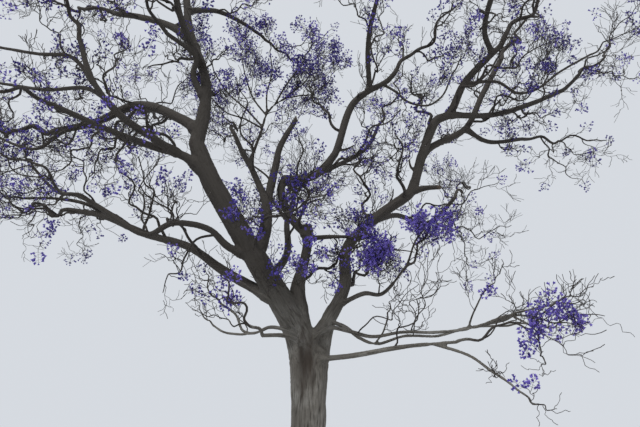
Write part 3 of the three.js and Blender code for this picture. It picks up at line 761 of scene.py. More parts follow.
def trunk_core(along):
    """The drawn trunk's radius between its flutes, narrower where the leaders fill it out."""
    height = np.asarray(along, float)
    flare = ROOT_FLARE * np.exp(-height / FLARE_HEIGHT)
    return (TRUNK_RADIUS + flare) * (1 - CORE_DIP * smooth(height, CORE_DIPS_FROM, TRUNK_LENGTH))


class Limb:
    """The trunk or one tapering bough: its curve, its radii and what it springs from."""

    def __init__(self, name, foot, legs, radius_at, parent=None, goes_on=False):
        self.name = name
        self.points = line_of_legs(foot, legs)
        self.legs = len(legs)
        self.length = sum(leg[0] for leg in legs)
        self.radius_at = radius_at
        self.parent = parent
        self.goes_on = goes_on
        self.tail = None  # the start of the twig that goes on from the tip, once it is drawn
        self.leaves_parent_at = 0.0 if parent is None or goes_on else self.find_way_out()

    def point(self, share):
        return on_curve(self.points, share)

    def way(self, share):
        near = np.clip([share - 1e-4, share + 1e-4], 0, 1)
        before, after = on_curve(self.points, near)
        return unit(after - before)

    def find_way_out(self):
        """The length of the bough that is hidden in its parent."""
        steps = np.linspace(0, 1, WAY_OUT_STEPS)
        parent_steps = np.linspace(0, 1, 2 * WAY_OUT_STEPS)
        axis = self.parent.point(parent_steps)
        radii = self.parent.radius_at(parent_steps)
        for share, place in zip(steps, self.point(steps)):
            if np.min(np.linalg.norm(axis - place, axis=1) - radii) > 0:
                return share * self.length
        return 0.0

    def skin_length(self):
        return self.length + (0 if self.tail is None else TAIL)

    def skin_point(self, along):
        """The point at a length from the foot, on into the twig that goes on from the tip."""
        along = np.asarray(along, float)
        point = self.point(along / self.length)
        if self.tail is None:
            return point
        return point + on_curve(self.tail, (along - self.length) / TAIL) - self.tail[0]

    def skin_radius(self, along):
        """The radius at a length from the foot, with a collar where a side bough leaves its parent."""
        along = np.asarray(along, float)
        if self.parent is None:
            return trunk_core(along)
        radius = self.radius_at(np.clip(along / self.length, 0, 1))
        radius = radius * (1 - TAIL_FALL * np.clip((along - self.length) / TAIL, 0, 1))
        if self.leaves_parent_at == 0:
            return radius
        if self.parent.name == "trunk" and self.name in LEADERS:
            return radius * (LEADER_FOOT + (1 - LEADER_FOOT) * smooth(along, 0, LEADER_FOOT_LENGTH))
        past = np.maximum(along - self.leaves_parent_at, 0)
        return radius * (1 + COLLAR * np.exp(-past / (COLLAR_REACH * radius)))


def make_limbs(boughs, limbs):
    """Adds the boughs of a table to the limbs that they grow on."""
    for name, bough in boughs.items():
        parent = limbs[bough["on"]]
        goes_on = bough["at"] == "tip"
        if goes_on:
            foot = parent.point(1) + parent.way(1) * CLEAR
        else:
            foot = parent.point(bough["at"] / parent.legs)
        radii = np.array(bough["girths"]) / 2
        spaced = np.linspace(0, 1, len(radii))
        radius_at = partial(np.interp, xp=spaced, fp=radii)
        limbs[name] = Limb(name, foot, bough["legs"], radius_at, parent, goes_on)
    return limbs


TRUNK = Limb("trunk", (0, 0, 0), TRUNK_LEGS, trunk_radius)
SOLID_LIMBS = make_limbs(BOUGHS, {"trunk": TRUNK})
LIMBS = make_limbs(SMALL_BOUGHS | SNAGS, dict(SOLID_LIMBS))
LIMB_NUMBERS = {name: number for number, name in enumerate(LIMBS)}


def piece_of(name):
    """The piece of bark that a limb belongs to."""
    if name == "trunk":
        return "trunk_bark"
    if name in LEADERS:
        return "leaders_bark"
    return side_of(name) + "_boughs_bark"


def side_of(name):
    """The side of the tree that a bough grows on, by the limb it comes from in the end."""
    while name not in LEADERS and LIMBS[name].parent.name != "trunk":
        name = LIMBS[name].parent.name
    return "left" if name.startswith(("left", "low_left", "inner", "broken")) else "right"


def limb_pieces():
    """Straight pieces of every solid limb's axis, for keeping twigs clear of them."""
    starts, ends, radii = [], [], []
    for limb in SOLID_LIMBS.values():
        shares = np.linspace(0, 1, limb.legs * LIMB_SAMPLES + 1)
        points, radius = limb.point(shares), limb.radius_at(shares)
        starts.append(points[:-1])
        ends.append(points[1:])
        radii.append(np.maximum(radius[:-1], radius[1:]))
    return np.concatenate(starts), np.concatenate(ends), np.concatenate(radii)


PIECE_STARTS, PIECE_ENDS, PIECE_RADII = limb_pieces()


def clear_of_limbs(point, clearance):
    run = PIECE_ENDS - PIECE_STARTS
    share = np.sum((point - PIECE_STARTS) * run, axis=1) / np.sum(run * run, axis=1)
    near = PIECE_STARTS + run * np.clip(share, 0, 1)[:, None]
    distance = np.linalg.norm(near - point, axis=1)
    return bool(np.all(distance > PIECE_RADII + LIMB_GAP + clearance))


class Mass:
    """A mass of twigs: its bough's tip and the space that it keeps to."""

    def __init__(self, name, index):
        bough, self.reach, heading, climb = MASSES[name]
        limb = LIMBS[bough]
        self.name = name
        self.bough = bough
        self.tip = limb.point(1)
        self.tip_way = limb.way(1)
        self.tip_radius = float(limb.radius_at(1))
        self.middle = self.tip + direction(heading, climb) * MIDDLE_AHEAD * self.reach
        self.seed = mix(index, FOR_MASS)

    def holds(self, point, clearance):
        off = point - self.middle
        if math.hypot(off[0], off[1], off[2] / SPACE_HEIGHT) > self.reach - clearance:
            return False
        for other in SPACES:
            if other is self:
                continue
            over = other.middle - self.middle
            apart = np.linalg.norm(over)
            edge = apart * self.reach / (self.reach + other.reach)
            if off @ over / apart >= edge - SPACE_GAP / 2 - clearance:
                return False
        return True

    def fits(self, point, clearance):
        return self.holds(point, clearance) and clear_of_limbs(point, clearance)


SPACES = [Mass(name, index) for index, name in enumerate(MASSES)]


@dataclass
class Twig:
    """A twig's bent line, its seed and radii, and how far down the rule it comes."""

    points: np.ndarray
    seed: int
    foot_radius: float
    tip_radius: float
    reach: float
    level: int
    carrier: object = None
    foot_share: float = 0.0
    tip_of: str = ""  # the bough that it goes on from
    drawn: np.ndarray = None  # the finer line that is drawn, once it is known


def solid_radius(twig, share):
    return max(THINNEST_SOLID, lerp(twig.foot_radius, twig.tip_radius, share))


def wander(foot, way, length, rule, seed):
    """A wandering line from a foot, bent a little by chance and upwards at each step."""
    points = [foot]
    for step in range(rule["steps"]):
        bends = np.array([swing(seed, 3 * step + axis) for axis in range(3)])
        way = unit(way + rule["bend"] * bends + rule["lift"] * UP)
        points.append(points[-1] + way * length / rule["steps"])
    return np.array(points)


def on_line(points, share):
    """The point and the way at a share of a bent line."""
    place = share * (len(points) - 1)
    low = min(int(place), len(points) - 2)
    step = points[low + 1] - points[low]
    return points[low] + step * (place - low), unit(step)


def leaning_way(way, lean, turn):
    """The way of a side twig that leans off its carrier, turned round it."""
    level = unit(np.cross(way, FRONT if abs(way[2]) > STEEPEST else UP))
    over = np.cross(level, way)
    return way * math.cos(lean) + (level * math.cos(turn) + over * math.sin(turn)) * math.sin(lean)


def side_twig(carrier, rule, count, use, level, fits):
    """One side twig, tried again turned and shorter where it doesn't fit; None if it never does."""
    seed = mix(carrier.seed, use + count)
    share = lerp(rule["first"], rule["last"], (0.5 + count * GOLDEN_SHARE) % 1)
    foot, foot_way = on_line(carrier.points, share)
    lean = math.radians(rule["lean"] + LEAN_SPREAD * swing(seed, FOR_LEAN))
    usual = rule["length"] * carrier.reach * lerp(LENGTH_AT_FOOT, LENGTH_AT_TIP, share)
    full = usual * (1 + LENGTH_SPREAD * swing(seed, FOR_LENGTH))
    radius = SIDE_TWIG_FOOT * solid_radius(carrier, share)
    radii = (radius, radius * TWIG_TAPER)
    if level > 2:
        radii = (min(FINE_FOOT[level - 3], radius), FINE_TIP[level - 3])
    turn = count * GOLDEN_TURN + 2 * math.pi * chance(carrier.seed, FOR_TURN)
    for attempt in range(TRIES):
        way = leaning_way(foot_way, lean, turn + math.radians(attempt * TRY_TURN))
        points = wander(foot, way, full * (1 - attempt * TRY_SHORTER), rule, seed)
        twig = Twig(points, seed, *radii, carrier.reach, level, carrier, share)
        if all(fits(on_line(points, at)[0], solid_radius(twig, at)) for at in FITTED_AT):
            return twig
    return None


def grow_coarse(carrier, depth, fits):
    """The side twigs that the solids have too, and theirs."""
    if depth == len(SIDE_TWIGS):
        return []
    rule = SIDE_TWIGS[depth]
    total = rule["count"]
    if depth == 0:
        total = math.floor(total * carrier.reach / USUAL_REACH + 0.5)
    grown = []
    for count in range(total):
        twig = side_twig(carrier, rule, count, FOR_SIDE_TWIG, depth + 1, fits)
        if twig:
            grown.append(twig)
            grown += grow_coarse(twig, depth + 1, fits)
    return grown


def grow_fine(carrier, depth, fits):
    """The finer side twigs that only the drawn tree has."""
    if depth == len(FINE_TWIGS):
        return []
    grown = []
    total = FINE_TWIGS[depth]["count"]
    if in_thick_blossom(carrier.points[-1]):
        total = math.ceil(total * MORE_IN_THICK)
    for count in range(total):
        twig = side_twig(carrier, FINE_TWIGS[depth], count, FOR_FINE_TWIG, depth + 3, fits)
        if twig and (depth == 0 or chance(twig.seed, FOR_THINNING + 1) < FINEST_KEPT):
            grown.append(twig)
            grown += grow_fine(twig, depth + 1, fits)
    return grown


def grow_mass(mass):
    """The stem of a mass and all its side twigs, coarse ones first."""
    foot = mass.tip + mass.tip_way * CLEAR
    towards = unit(unit(mass.middle - mass.tip) + mass.tip_way)
    points = wander(foot, towards, STEM["length"] * mass.reach, STEM, mass.seed)
    radius = mass.tip_radius * STEM_FOOT
    stem = Twig(points, mass.seed, radius, radius * TWIG_TAPER, mass.reach, 0, tip_of=mass.bough)
    coarse = [stem] + grow_coarse(stem, 0, mass.fits)
    fine = [fine for twig in coarse for fine in grow_fine(twig, 0, mass.fits)]
    kept_share = USUAL_KEPT if mass.name.startswith("low") else FINE_KEPT.get(mass.name)
    if kept_share:
        fine = [twig for twig in fine if kept(twig, kept_share)]
    return coarse + fine


def kept(twig, share):
    """Whether a fine twig stays where there are few outside the blossom."""
    if twig.level == 4:
        return kept(twig.carrier, share) and chance(twig.seed, FOR_THINNING) < share
    return in_thick_blossom(twig.points[-1]) or chance(twig.seed, FOR_THINNING) < share


def in_thick_blossom(point):
    return any(math.dist(point, spot[:3]) < spot[3] for spot in THICK_BLOSSOM)


def in_crown(point, clearance):
    """Whether a point is clear of limbs and of the trunk's surroundings, and inside the solids' box."""
    low, high = (np.array(corner) for corner in CAD_BOX)
    inside = np.all(point > low + clearance) and np.all(point < high - clearance)
    by_trunk = point[2] < BARE_BELOW and math.hypot(point[0], point[1]) < BARE_ROUND_TRUNK
    return bool(inside) and not by_trunk and clear_of_limbs(point, clearance)


def grow_branches(limb, index):
    """Side branches along a bough, their twigs and the finer ones."""
    seed = mix(index, FOR_BRANCH)
    girth = float(limb.radius_at(0.5))
    shares = np.linspace(0, 1, limb.legs * LIMB_SAMPLES + 1)
    reach = min(USUAL_REACH, max(SHORTEST_REACH, REACH_OF_BOUGH * limb.length))
    bough = Twig(limb.point(shares), seed, girth, girth, reach, 0)
    carriers = []
    if limb.name in SMALL_BOUGHS:
        foot = float(limb.radius_at(1)) * STEM_FOOT
        points = wander(limb.point(1), limb.way(1), END_TWIG["length"] * reach, END_TWIG, seed)
        carriers.append(Twig(points, seed, foot, foot * TWIG_TAPER, reach, 0, tip_of=limb.name))
        carriers += branch_twigs(carriers[0])
    low = limb.name.startswith("low")
    lowest = min(limb.points[0][2], limb.points[-1][2]) - BELOW_BOUGH if low else 0

    def fits(point, clearance):
        return point[2] > lowest and in_crown(point, clearance)

    outer_part = limb.length * (BRANCH["last"] - BRANCH["first"])
    for count in range(round(outer_part / branch_spacing(limb.name))):
        branch = side_twig(bough, BRANCH, count, FOR_BRANCH, 1, fits)
        if branch is None:
            continue
        foot = min(BRANCH_THICKEST, BRANCH_FOOT * float(limb.radius_at(branch.foot_share)))
        branch.foot_radius, branch.tip_radius, branch.carrier = foot, foot * BRANCH_TAPER, None
        carriers += [branch] + branch_twigs(branch)
    fine = [fine for carrier in carriers for fine in grow_fine(carrier, 0, fits)]
    kept_share = USUAL_KEPT if low else FINE_KEPT.get(limb.name)
    if kept_share:
        fine = [twig for twig in fine if kept(twig, kept_share)]
    return carriers + fine


def branch_spacing(name):
    if name.endswith("shoot"):
        return SHOOT_SPACING
    return LOW_SPACING if name.startswith("low") else BRANCH_SPACING


def branch_twigs(branch):
    """The twigs of one side branch that fit."""
    numbers = range(BRANCH_TWIGS["count"])
    twigs = [side_twig(branch, BRANCH_TWIGS, number, FOR_SIDE_TWIG, 2, in_crown) for number in numbers]
    return [twig for twig in twigs if twig]


def draw_line(twig):
    """The finer line of a twig: a curve through its points that sways a little between foot and tip."""
    points = twig.points.copy()
    if twig.carrier is not None and twig.carrier.drawn is not None:
        points[0] = on_line(twig.carrier.drawn, twig.foot_share)[0]
    shares = np.linspace(0, 1, POINTS_DRAWN[twig.level])
    line = on_curve(points, shares)
    length = np.sum(np.linalg.norm(np.diff(points, axis=0), axis=1))
    _, side, over = (a[0, 0] for a in carried_frames(line[None]))
    envelope = np.sin(math.pi * shares) ** SWAY_FULLNESS * length * SWAY[twig.level]
    for axis, use in ((side, FOR_SWAY), (over, FOR_SWAY + 2)):
        turns = 2 * math.pi * (SWAY_TURNS[0] + SWAY_TURNS[1] * chance(twig.seed, use)) * shares
        phase = 2 * math.pi * chance(twig.seed, use + 1)
        sway = np.sin(turns + phase) + QUICK_SWAY * np.sin(QUICKER * turns - phase)
        line = line + axis * (envelope * sway)[:, None]
    twig.drawn = line


def grow_tree():
    """All twigs by mass or bough, each list with its carriers first, and their drawn lines."""
    groups = []
    for mass in SPACES:
        bloom = LOOSE_BLOOM.get(mass.name, USUAL_BLOOM)
        groups.append((side_of(mass.bough), bloom, grow_mass(mass)))
    for index, (name, limb) in enumerate(LIMBS.items()):
        if name not in ("trunk", "left_leader", "broken_stub", *SNAGS):
            bloom = 0.0 if name.startswith("low") else LOOSE_BLOOM.get(name, USUAL_BLOOM)
            groups.append((side_of(name), bloom, grow_branches(limb, index)))
    for _, _, twigs in groups:
        for twig in twigs:
            draw_line(twig)
            if twig.tip_of:
                LIMBS[twig.tip_of].tail = start_of(twig.drawn, TAIL)
    return groups


def start_of(line, length):
    """The first part of a line, in a few points."""
    runs = np.concatenate([[0], np.cumsum(np.linalg.norm(np.diff(line, axis=0), axis=1))])
    wanted = np.linspace(0, length, 6)
    return np.stack([np.interp(wanted, runs, line[:, axis]) for axis in range(3)], axis=1)


TWIG_GROUPS = grow_tree()


def mesh_from_triangles(name, points, triangles):
    """A mesh from joined arrays, with its faces smooth."""
    mesh = bpy.data.meshes.new(name)
    mesh.vertices.add(len(points))
    mesh.vertices.foreach_set("co", np.asarray(points, np.float32).ravel())
    mesh.loops.add(3 * len(triangles))
    mesh.loops.foreach_set("vertex_index", np.asarray(triangles, np.int32).ravel())
    mesh.polygons.add(len(triangles))
    mesh.polygons.foreach_set("loop_start", np.arange(0, 3 * len(triangles), 3, dtype=np.int32))
    mesh.polygons.foreach_set("use_smooth", np.ones(len(triangles), bool))
    mesh.update(calc_edges=True)
    return mesh


def add_piece(name, mesh, material, nodes=()):
    """Puts a finished mesh in the scene as one piece that rides on the tree."""
    piece = bpy.data.objects.new(name, mesh)
    bpy.context.scene.collection.objects.link(piece)
    mesh.materials.clear()
    mesh.materials.append(material)
    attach(piece, "root")
    if nodes:
        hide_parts(*nodes)
    return piece


def tubes(lines, radii, sides):
    """Points and triangles of a batch of tapering tubes, closed at the foot and pointed at the tip."""
    count, rings, _ = lines.shape
    ways, side, over = carried_frames(lines)
    turns = 2 * math.pi * np.arange(sides) / sides
    around = side[:, :, None] * np.cos(turns)[:, None] + over[:, :, None] * np.sin(turns)[:, None]
    walls = (lines[:, :, None] + around * radii[:, :, None, None]).reshape(count, rings * sides, 3)
    tips = lines[:, -1] + ways[:, -1] * radii[:, -1:]
    points = np.concatenate([walls, tips[:, None]], axis=1)
    corner = np.arange(rings - 1)[:, None] * sides + np.arange(sides)
    beside = np.arange(rings - 1)[:, None] * sides + (np.arange(sides) + 1) % sides
    faces = [
        np.stack([corner, beside, beside + sides], axis=-1).reshape(-1, 3),
        np.stack([corner, beside + sides, corner + sides], axis=-1).reshape(-1, 3),
    ]
    last = (rings - 1) * sides
    ring = np.arange(sides)
    tip = np.full(sides, rings * sides)
    faces.append(np.stack([last + ring, last + (ring + 1) % sides, tip], axis=-1))
    fan = np.arange(1, sides - 1)
    faces.append(np.stack([np.zeros_like(fan), fan + 1, fan], axis=-1))
    one = np.concatenate(faces)
    size = rings * sides + 1
    triangles = one[None] + size * np.arange(count)[:, None, None]
    return points.reshape(-1, 3), triangles.reshape(-1, 3)


def join_arrays(parts):
    """Several (points, triangles) pairs as one."""
    points, triangles, start = [], [], 0
    for some_points, some_triangles in parts:
        points.append(some_points)
        triangles.append(some_triangles + start)
        start += len(some_points)
    return np.concatenate(points), np.concatenate(triangles)


def twig_tubes(twigs):
    """One batch of tubes for each level among the twigs."""
    parts = []
    for level in sorted({twig.level for twig in twigs}):
        batch = [twig for twig in twigs if twig.level == level]
        lines = np.stack([twig.drawn for twig in batch])
        shares = np.linspace(0, 1, lines.shape[1])
        feet = np.array([[twig.foot_radius] for twig in batch])
        tips = np.array([[twig.tip_radius] for twig in batch])
        radii = np.maximum(lerp(feet, tips, shares), FINE_TIP[-1])
        parts.append(tubes(lines, radii, SIDES_DRAWN[level]))
    return join_arrays(parts)


def frames_along(line, radii):
    """Matrices along a line, each turned to its way and scaled to the radius there."""
    frames = []
    for point, way, side, over, radius in zip(line, *(a[0] for a in carried_frames(line[None])), radii):
        turned = Matrix((side, over, way)).transposed().to_4x4()
        frames.append(Matrix.Translation(point) @ turned @ Matrix.Diagonal((radius, radius, radius, 1)))
    return frames


def limb_frames(limb, start, end, radius_at):
    """Matrices along a limb from one length to another."""
    steps = max(2, round((end - start) / RING_STEP))
    along = np.linspace(start, end, steps + 1)
    radii = [max(THINNEST_TUBE, float(radius_at(place))) for place in along]
    frames = frames_along(limb.skin_point(along), radii)
    if limb.name in TORN_ENDS:
        tilt = math.radians(TORN_ENDS[limb.name])
        stretch = Matrix.Diagonal((1 / math.cos(tilt), 1, 1, 1))
        frames[-1] = frames[-1] @ Matrix.Rotation(tilt, 4, "Y") @ stretch
    return frames


def sweep(bm, frames):
    """A closed tube through the frames: one circle, extruded from each to the next."""
    made = bmesh.ops.create_circle(bm, cap_ends=True, segments=RING_SIDES, radius=1, matrix=frames[0])
    tube = list(made["verts"])
    # A dict drops the doubles and keeps the order, so that each run makes the same mesh
    edges = list(dict.fromkeys(edge for vert in tube for edge in vert.link_edges))
    for before, after in zip(frames, frames[1:]):
        grown = bmesh.ops.extrude_edge_only(bm, edges=edges)["geom"]
        verts = [part for part in grown if isinstance(part, bmesh.types.BMVert)]
        bmesh.ops.transform(bm, matrix=after @ before.inverted(), verts=verts)
        edges = [part for part in grown if isinstance(part, bmesh.types.BMEdge) and part.is_boundary]
        tube += verts
    bmesh.ops.edgeloop_fill(bm, edges=edges)
    return tube


def sweep_limb(bm, limb, name):
    """A limb's share of a piece of bark: all of it in its own piece, a stub of it in its parent's."""
    own = piece_of(limb.name) == name
    if own and piece_of(limb.parent.name) == name:
        return sweep(bm, limb_frames(limb, 0.0, limb.skin_length(), limb.skin_radius))
    stub = max(STUB_LENGTH, STUB_IN_RADII * float(limb.radius_at(NEAR_FOOT)))
    seam = min(limb.leaves_parent_at + stub, limb.length * LONGEST_STUB)

    def radius_by_seam(along):
        past = smooth(along, seam - SEAM_LENGTH, seam + SEAM_LENGTH)
        return limb.skin_radius(along) * (1 - SEAM_DIP * ((1 - past) if own else past))

    if own:
        return sweep(bm, limb_frames(limb, seam - SEAM_LENGTH / 2, limb.skin_length(), radius_by_seam))
    return sweep(bm, limb_frames(limb, 0.0, seam + SEAM_LENGTH / 2, radius_by_seam))


def sweep_root(bm, leader):
    """The root of a leader, which runs down inside the trunk and shows there as a flute."""
    out = unit((leader.points[1] - leader.points[0]) * np.array([1, 1, 0]))
    low, high = (TRUNK.point(share) for share in ROOT_HEIGHTS)
    joins = [leader.point(length / leader.length) for length in ROOT_JOINS]
    radius = float(leader.radius_at(NEAR_FOOT))
    foot_radius = radius * ROOT_GIRTH
    top_radius = leader.skin_radius(ROOT_JOINS[1]) * ROOT_TOP_GIRTH
    foot = low + out * (ROOT_SHOWS - foot_radius) * ROOT_FOOT_OUT
    points = np.array([foot, high + out * (ROOT_SHOWS - radius), *joins])
    shares = np.linspace(0, 1, ROOT_RINGS)
    radii = np.interp(shares, ROOT_GIRTHS_AT, [foot_radius, radius, radius, top_radius])
    return sweep(bm, frames_along(on_curve(points, shares), radii))


def flutes(angle, height):
    """The trunk's ridges that run up to the leaders, and the valley between them at the front."""
    total = 0.0
    for at, rise, spread, low, high in FLUTES:
        off = (math.degrees(angle) - at - FLUTE_TWIST * (TRUNK_LENGTH - height) + 180) % 360 - 180
        total += rise * math.exp(-((off / spread) ** 2)) * float(smooth(height, low, high))
    return total


def shape_trunk(verts):
    """Spreads the trunk's foot into its root lobes and raises its flutes."""
    for vert in verts:
        axis = TRUNK.point(np.clip(vert.co.z / TRUNK_LENGTH, 0, 1))
        off = Vector((vert.co.x - axis[0], vert.co.y - axis[1], 0))
        if off.length > 1e-6:
            angle = math.atan2(off.y, off.x)
            share = max(vert.co.z, 0) / TRUNK_LENGTH
            grow = float(trunk_radius(share, angle) / trunk_radius(share))
            vert.co += off * (grow - 1) + off.normalized() * flutes(angle, vert.co.z)


def round_joint(bm, limb):
    """A ball where a limb goes on from another's tip at a bend."""
    place = Matrix.Translation(limb.point(0))
    radius = float(limb.radius_at(0))
    bmesh.ops.create_uvsphere(bm, u_segments=RING_SIDES, v_segments=12, radius=radius, matrix=place)


def limbs_of_piece(name):
    """The limbs in a piece of bark, and those that leave it."""
    return [
        limb for limb in LIMBS.values()
        if piece_of(limb.name) == name or limb.parent and piece_of(limb.parent.name) == name
    ]


def rough_limbs(name):
    """A bmesh with the tubes of every limb in a piece of bark, and stubs of boughs that leave it."""
    bm = bmesh.new()
    for limb in limbs_of_piece(name):
        if limb.name == "trunk":
            tube = sweep(bm, limb_frames(limb, 0.0, limb.length, limb.skin_radius))
            shape_trunk(tube)
            for leader in FORK:
                sweep_root(bm, LIMBS[leader])
        else:
            sweep_limb(bm, limb, name)
            if limb.goes_on:
                round_joint(bm, limb)
    bmesh.ops.recalc_face_normals(bm, faces=bm.faces)
    return bm


def grown_together(bm, name, voxel):
    """One closed skin round all the tubes of a bmesh, with the forks rounded off."""
    rough = bpy.data.meshes.new(name + "_rough")
    bm.to_mesh(rough)
    bm.free()
    holder = bpy.data.objects.new(name + "_rough", rough)
    bpy.context.scene.collection.objects.link(holder)
    skin = holder.modifiers.new("skin", "REMESH")
    skin.mode = "VOXEL"
    skin.voxel_size = voxel
    rounding = holder.modifiers.new("rounding", "SMOOTH")
    rounding.factor = 0.5
    rounding.iterations = SKIN_SMOOTHING
    depsgraph = bpy.context.evaluated_depsgraph_get()
    mesh = bpy.data.meshes.new_from_object(holder.evaluated_get(depsgraph))
    mesh.name = name
    bpy.data.objects.remove(holder)
    bpy.data.meshes.remove(rough)
    return mesh


def round_fork(mesh):
    """Smooths the skin round the fork, most in its middle, so that the trunk runs into its leaders."""
    middle, reach, passes = FORK_ROUNDED
    bm = bmesh.new()
    bm.from_mesh(mesh)
    far = [(vert, (vert.co - Vector(middle)).length) for vert in bm.verts]
    for number in range(passes):
        near = [vert for vert, distance in far if distance < reach * (1 - 0.5 * number / passes)]
        bmesh.ops.smooth_vert(
            bm, verts=near, factor=0.5, use_axis_x=True, use_axis_y=True, use_axis_z=True,
        )
    bm.to_mesh(mesh)
    bm.free()


def place_on_limb(limb, points):
    """Where the points near a limb lie on it, or None if none is near."""
    steps = max(8, round(limb.skin_length() / AXIS_STEP))
    along = np.linspace(0, limb.skin_length(), steps + 1)
    line = limb.skin_point(along)
    ways, sides, overs = (a[0] for a in carried_frames(line[None]))
    margin = NEAR_LIMB + float(np.max(limb.skin_radius(along)))
    near = np.all((points > line.min(axis=0) - margin) & (points < line.max(axis=0) + margin), axis=1)
    found = np.nonzero(near)[0]
    if not len(found):
        return None
    some = points[found]
    square = np.sum(some**2, axis=1)[:, None] + np.sum(line**2, axis=1) - 2 * some @ line.T
    nearest = np.argmin(square, axis=1)
    ahead = np.clip(np.sum((some - line[nearest]) * ways[nearest], axis=1), -AXIS_STEP, AXIS_STEP)
    off = some - line[nearest] - ways[nearest] * ahead[:, None]
    distance = np.linalg.norm(off, axis=1)
    length = along[nearest] + ahead
    radius = limb.skin_radius(length)
    some_distance = np.maximum(distance, TINY)
    return {
        "index": found,
        "along": length,
        "gap": distance - radius,
        "radius": radius,
        "off": distance,
        "out": off / some_distance[:, None],
        "x": np.sum(off * sides[nearest], axis=1) / some_distance,
        "y": np.sum(off * overs[nearest], axis=1) / some_distance,
        "inside": (length > AXIS_ENDS) & (length < limb.skin_length() - AXIS_ENDS),
    }


def find_places(limbs, points):
    """Where points lie on each limb, their gap to the nearest, and how alone it is there, 0 to 1."""
    places = []
    for limb in limbs:
        place = place_on_limb(limb, points)
        if place:
            places.append((limb, place))
    best = np.full(len(points), FAR_GAP)
    second = np.full(len(points), FAR_GAP)
    for _, place in places:
        index, gap = place["index"], place["gap"]
        second[index] = np.minimum(second[index], np.maximum(best[index], gap))
        best[index] = np.minimum(best[index], gap)
    return places, best, smooth(second - best, ALONE_FROM, BLEND_BAND)


def bark_height(x, y, along, spacing):
    """The bark's height between furrow, 0, and ridge, 1."""
    place = Vector((x / spacing, y / spacing, along / (FURROW_LENGTH * spacing)))
    place += noise.noise_vector(place * FURROW_WAVER[0]) * FURROW_WAVER[1]
    plates = min(1.0, abs(noise.noise(place)) * PLATES[1])
    cracks = min(1.0, abs(noise.noise(place * CRACKS_FINER + CRACKS_FROM)) * CRACKS[1])
    return PLATES[0] * plates + CRACKS[0] * cracks


def raise_bark(skin, limb, near):
    """Adds a limb's ridges to the points near it, and notes where on its bark the nearest ones lie."""
    index, radius = near["index"], near["radius"]
    x, y = near["x"] * radius, near["y"] * radius
    along = near["along"] + LIMBS_APART * LIMB_NUMBERS[limb.name]
    spacing = FURROW_SPACING[0] + FURROW_SPACING[1] * float(limb.radius_at(GIRTH_READ_AT))
    heights = np.array([bark_height(*place, spacing) for place in zip(x, y, along)])
    skin["height"][index] += near["share"] * heights
    skin["size"][index] += near["share"] * radius
    skin["weight"][index] += near["share"]
    skin["coords"][index[near["mine"]]] = np.stack([x, y, along], axis=1)[near["mine"]]


def bare_end(skin, limb, near):
    """Marks the bare wood of a sawn or torn end, and splinters a torn one."""
    across, deep = BARE_END
    radius = near["radius"]
    inner = (near["off"] < across * radius) & (near["along"] > limb.length - deep * radius)
    index = near["index"][inner]
    skin["cut"][index] = 1
    if limb.name in TORN_ENDS:
        places = zip((near["x"] * radius)[inner], (near["y"] * radius)[inner])
        splinters = np.array([noise.noise(Vector((x, y, 0)) * SPLINTER_FINENESS) for x, y in places])
        skin["move"][index] += limb.way(1) * (splinters * SPLINTERS)[:, None]


def draw_in(skin, limb, near, alone):
    """Draws the skin in to a bough's true radius where no other limb is near."""
    rounded = near["mine"] & near["inside"]
    index = near["index"][rounded]
    pull = -near["gap"][rounded] * alone[index]
    if limb.name in FORK:
        pull *= smooth(near["along"][rounded], *ROOT_JOINS)
    skin["move"][index] = near["out"][rounded] * pull[:, None]


def dress_bark(mesh, limbs, depth):
    """Sets the skin's true radius, raises the bark's relief and stores what the material reads."""
    points = read_vectors(mesh.vertices, "co")
    normals = read_vectors(mesh.vertex_normals, "vector")
    places, best, alone = find_places(limbs, points)
    skin = {name: np.zeros(len(points)) for name in ("height", "weight", "size", "cut")}
    skin |= {name: np.zeros((len(points), 3)) for name in ("coords", "move")}
    for limb, place in places:
        close = place["gap"] - best[place["index"]] < BLEND_BAND
        near = {name: values[close] for name, values in place.items()}
        nearest = best[near["index"]]
        near["mine"] = near["gap"] <= nearest
        near["share"] = (1 - (near["gap"] - nearest) / BLEND_BAND) ** 2
        raise_bark(skin, limb, near)
        if limb.name in TORN_ENDS or limb.name in SNAGS:
            bare_end(skin, limb, near)
        if limb.name != "trunk":
            draw_in(skin, limb, near, alone)
    seen = skin["weight"] > 0
    for name in ("height", "size"):
        skin[name][seen] /= skin["weight"][seen]
    many, high = LUMPS
    lumps = np.array([noise.noise(Vector(point) * many) for point in points])
    thick = (np.maximum(skin["size"], THINNEST_BARK) / TRUNK_RADIUS) ** BARK_BY_GIRTH
    rise = depth * thick * (skin["height"] - MIDDLE_HEIGHT) * (1 - skin["cut"])
    moved = points + skin["move"] + normals * (rise + lumps * skin["size"] * high)[:, None]
    mesh.vertices.foreach_set("co", moved.astype(np.float32).ravel())
    store(mesh, "ridge", "FLOAT", skin["height"])
    store(mesh, "alone", "FLOAT", alone)
    store(mesh, "cut", "FLOAT", skin["cut"])
    # Painted shade of the hollow under the fork, together with a damp stain
    store(mesh, "shade_and_stain", "FLOAT", shade_and_stain_at(moved))
    store(mesh, "bark_at", "FLOAT_VECTOR", skin["coords"])
    mesh.polygons.foreach_set("use_smooth", np.ones(len(mesh.polygons), bool))
    mesh.update()


def read_vectors(source, key):
    values = np.empty(len(source) * 3, np.float32)
    source.foreach_get(key, values)
    return values.reshape(-1, 3).astype(float)


def store(mesh, name, kind, values):
    made = mesh.attributes.new(name, kind, "POINT")
    made.data.foreach_set("value" if kind == "FLOAT" else "vector", values.astype(np.float32).ravel())


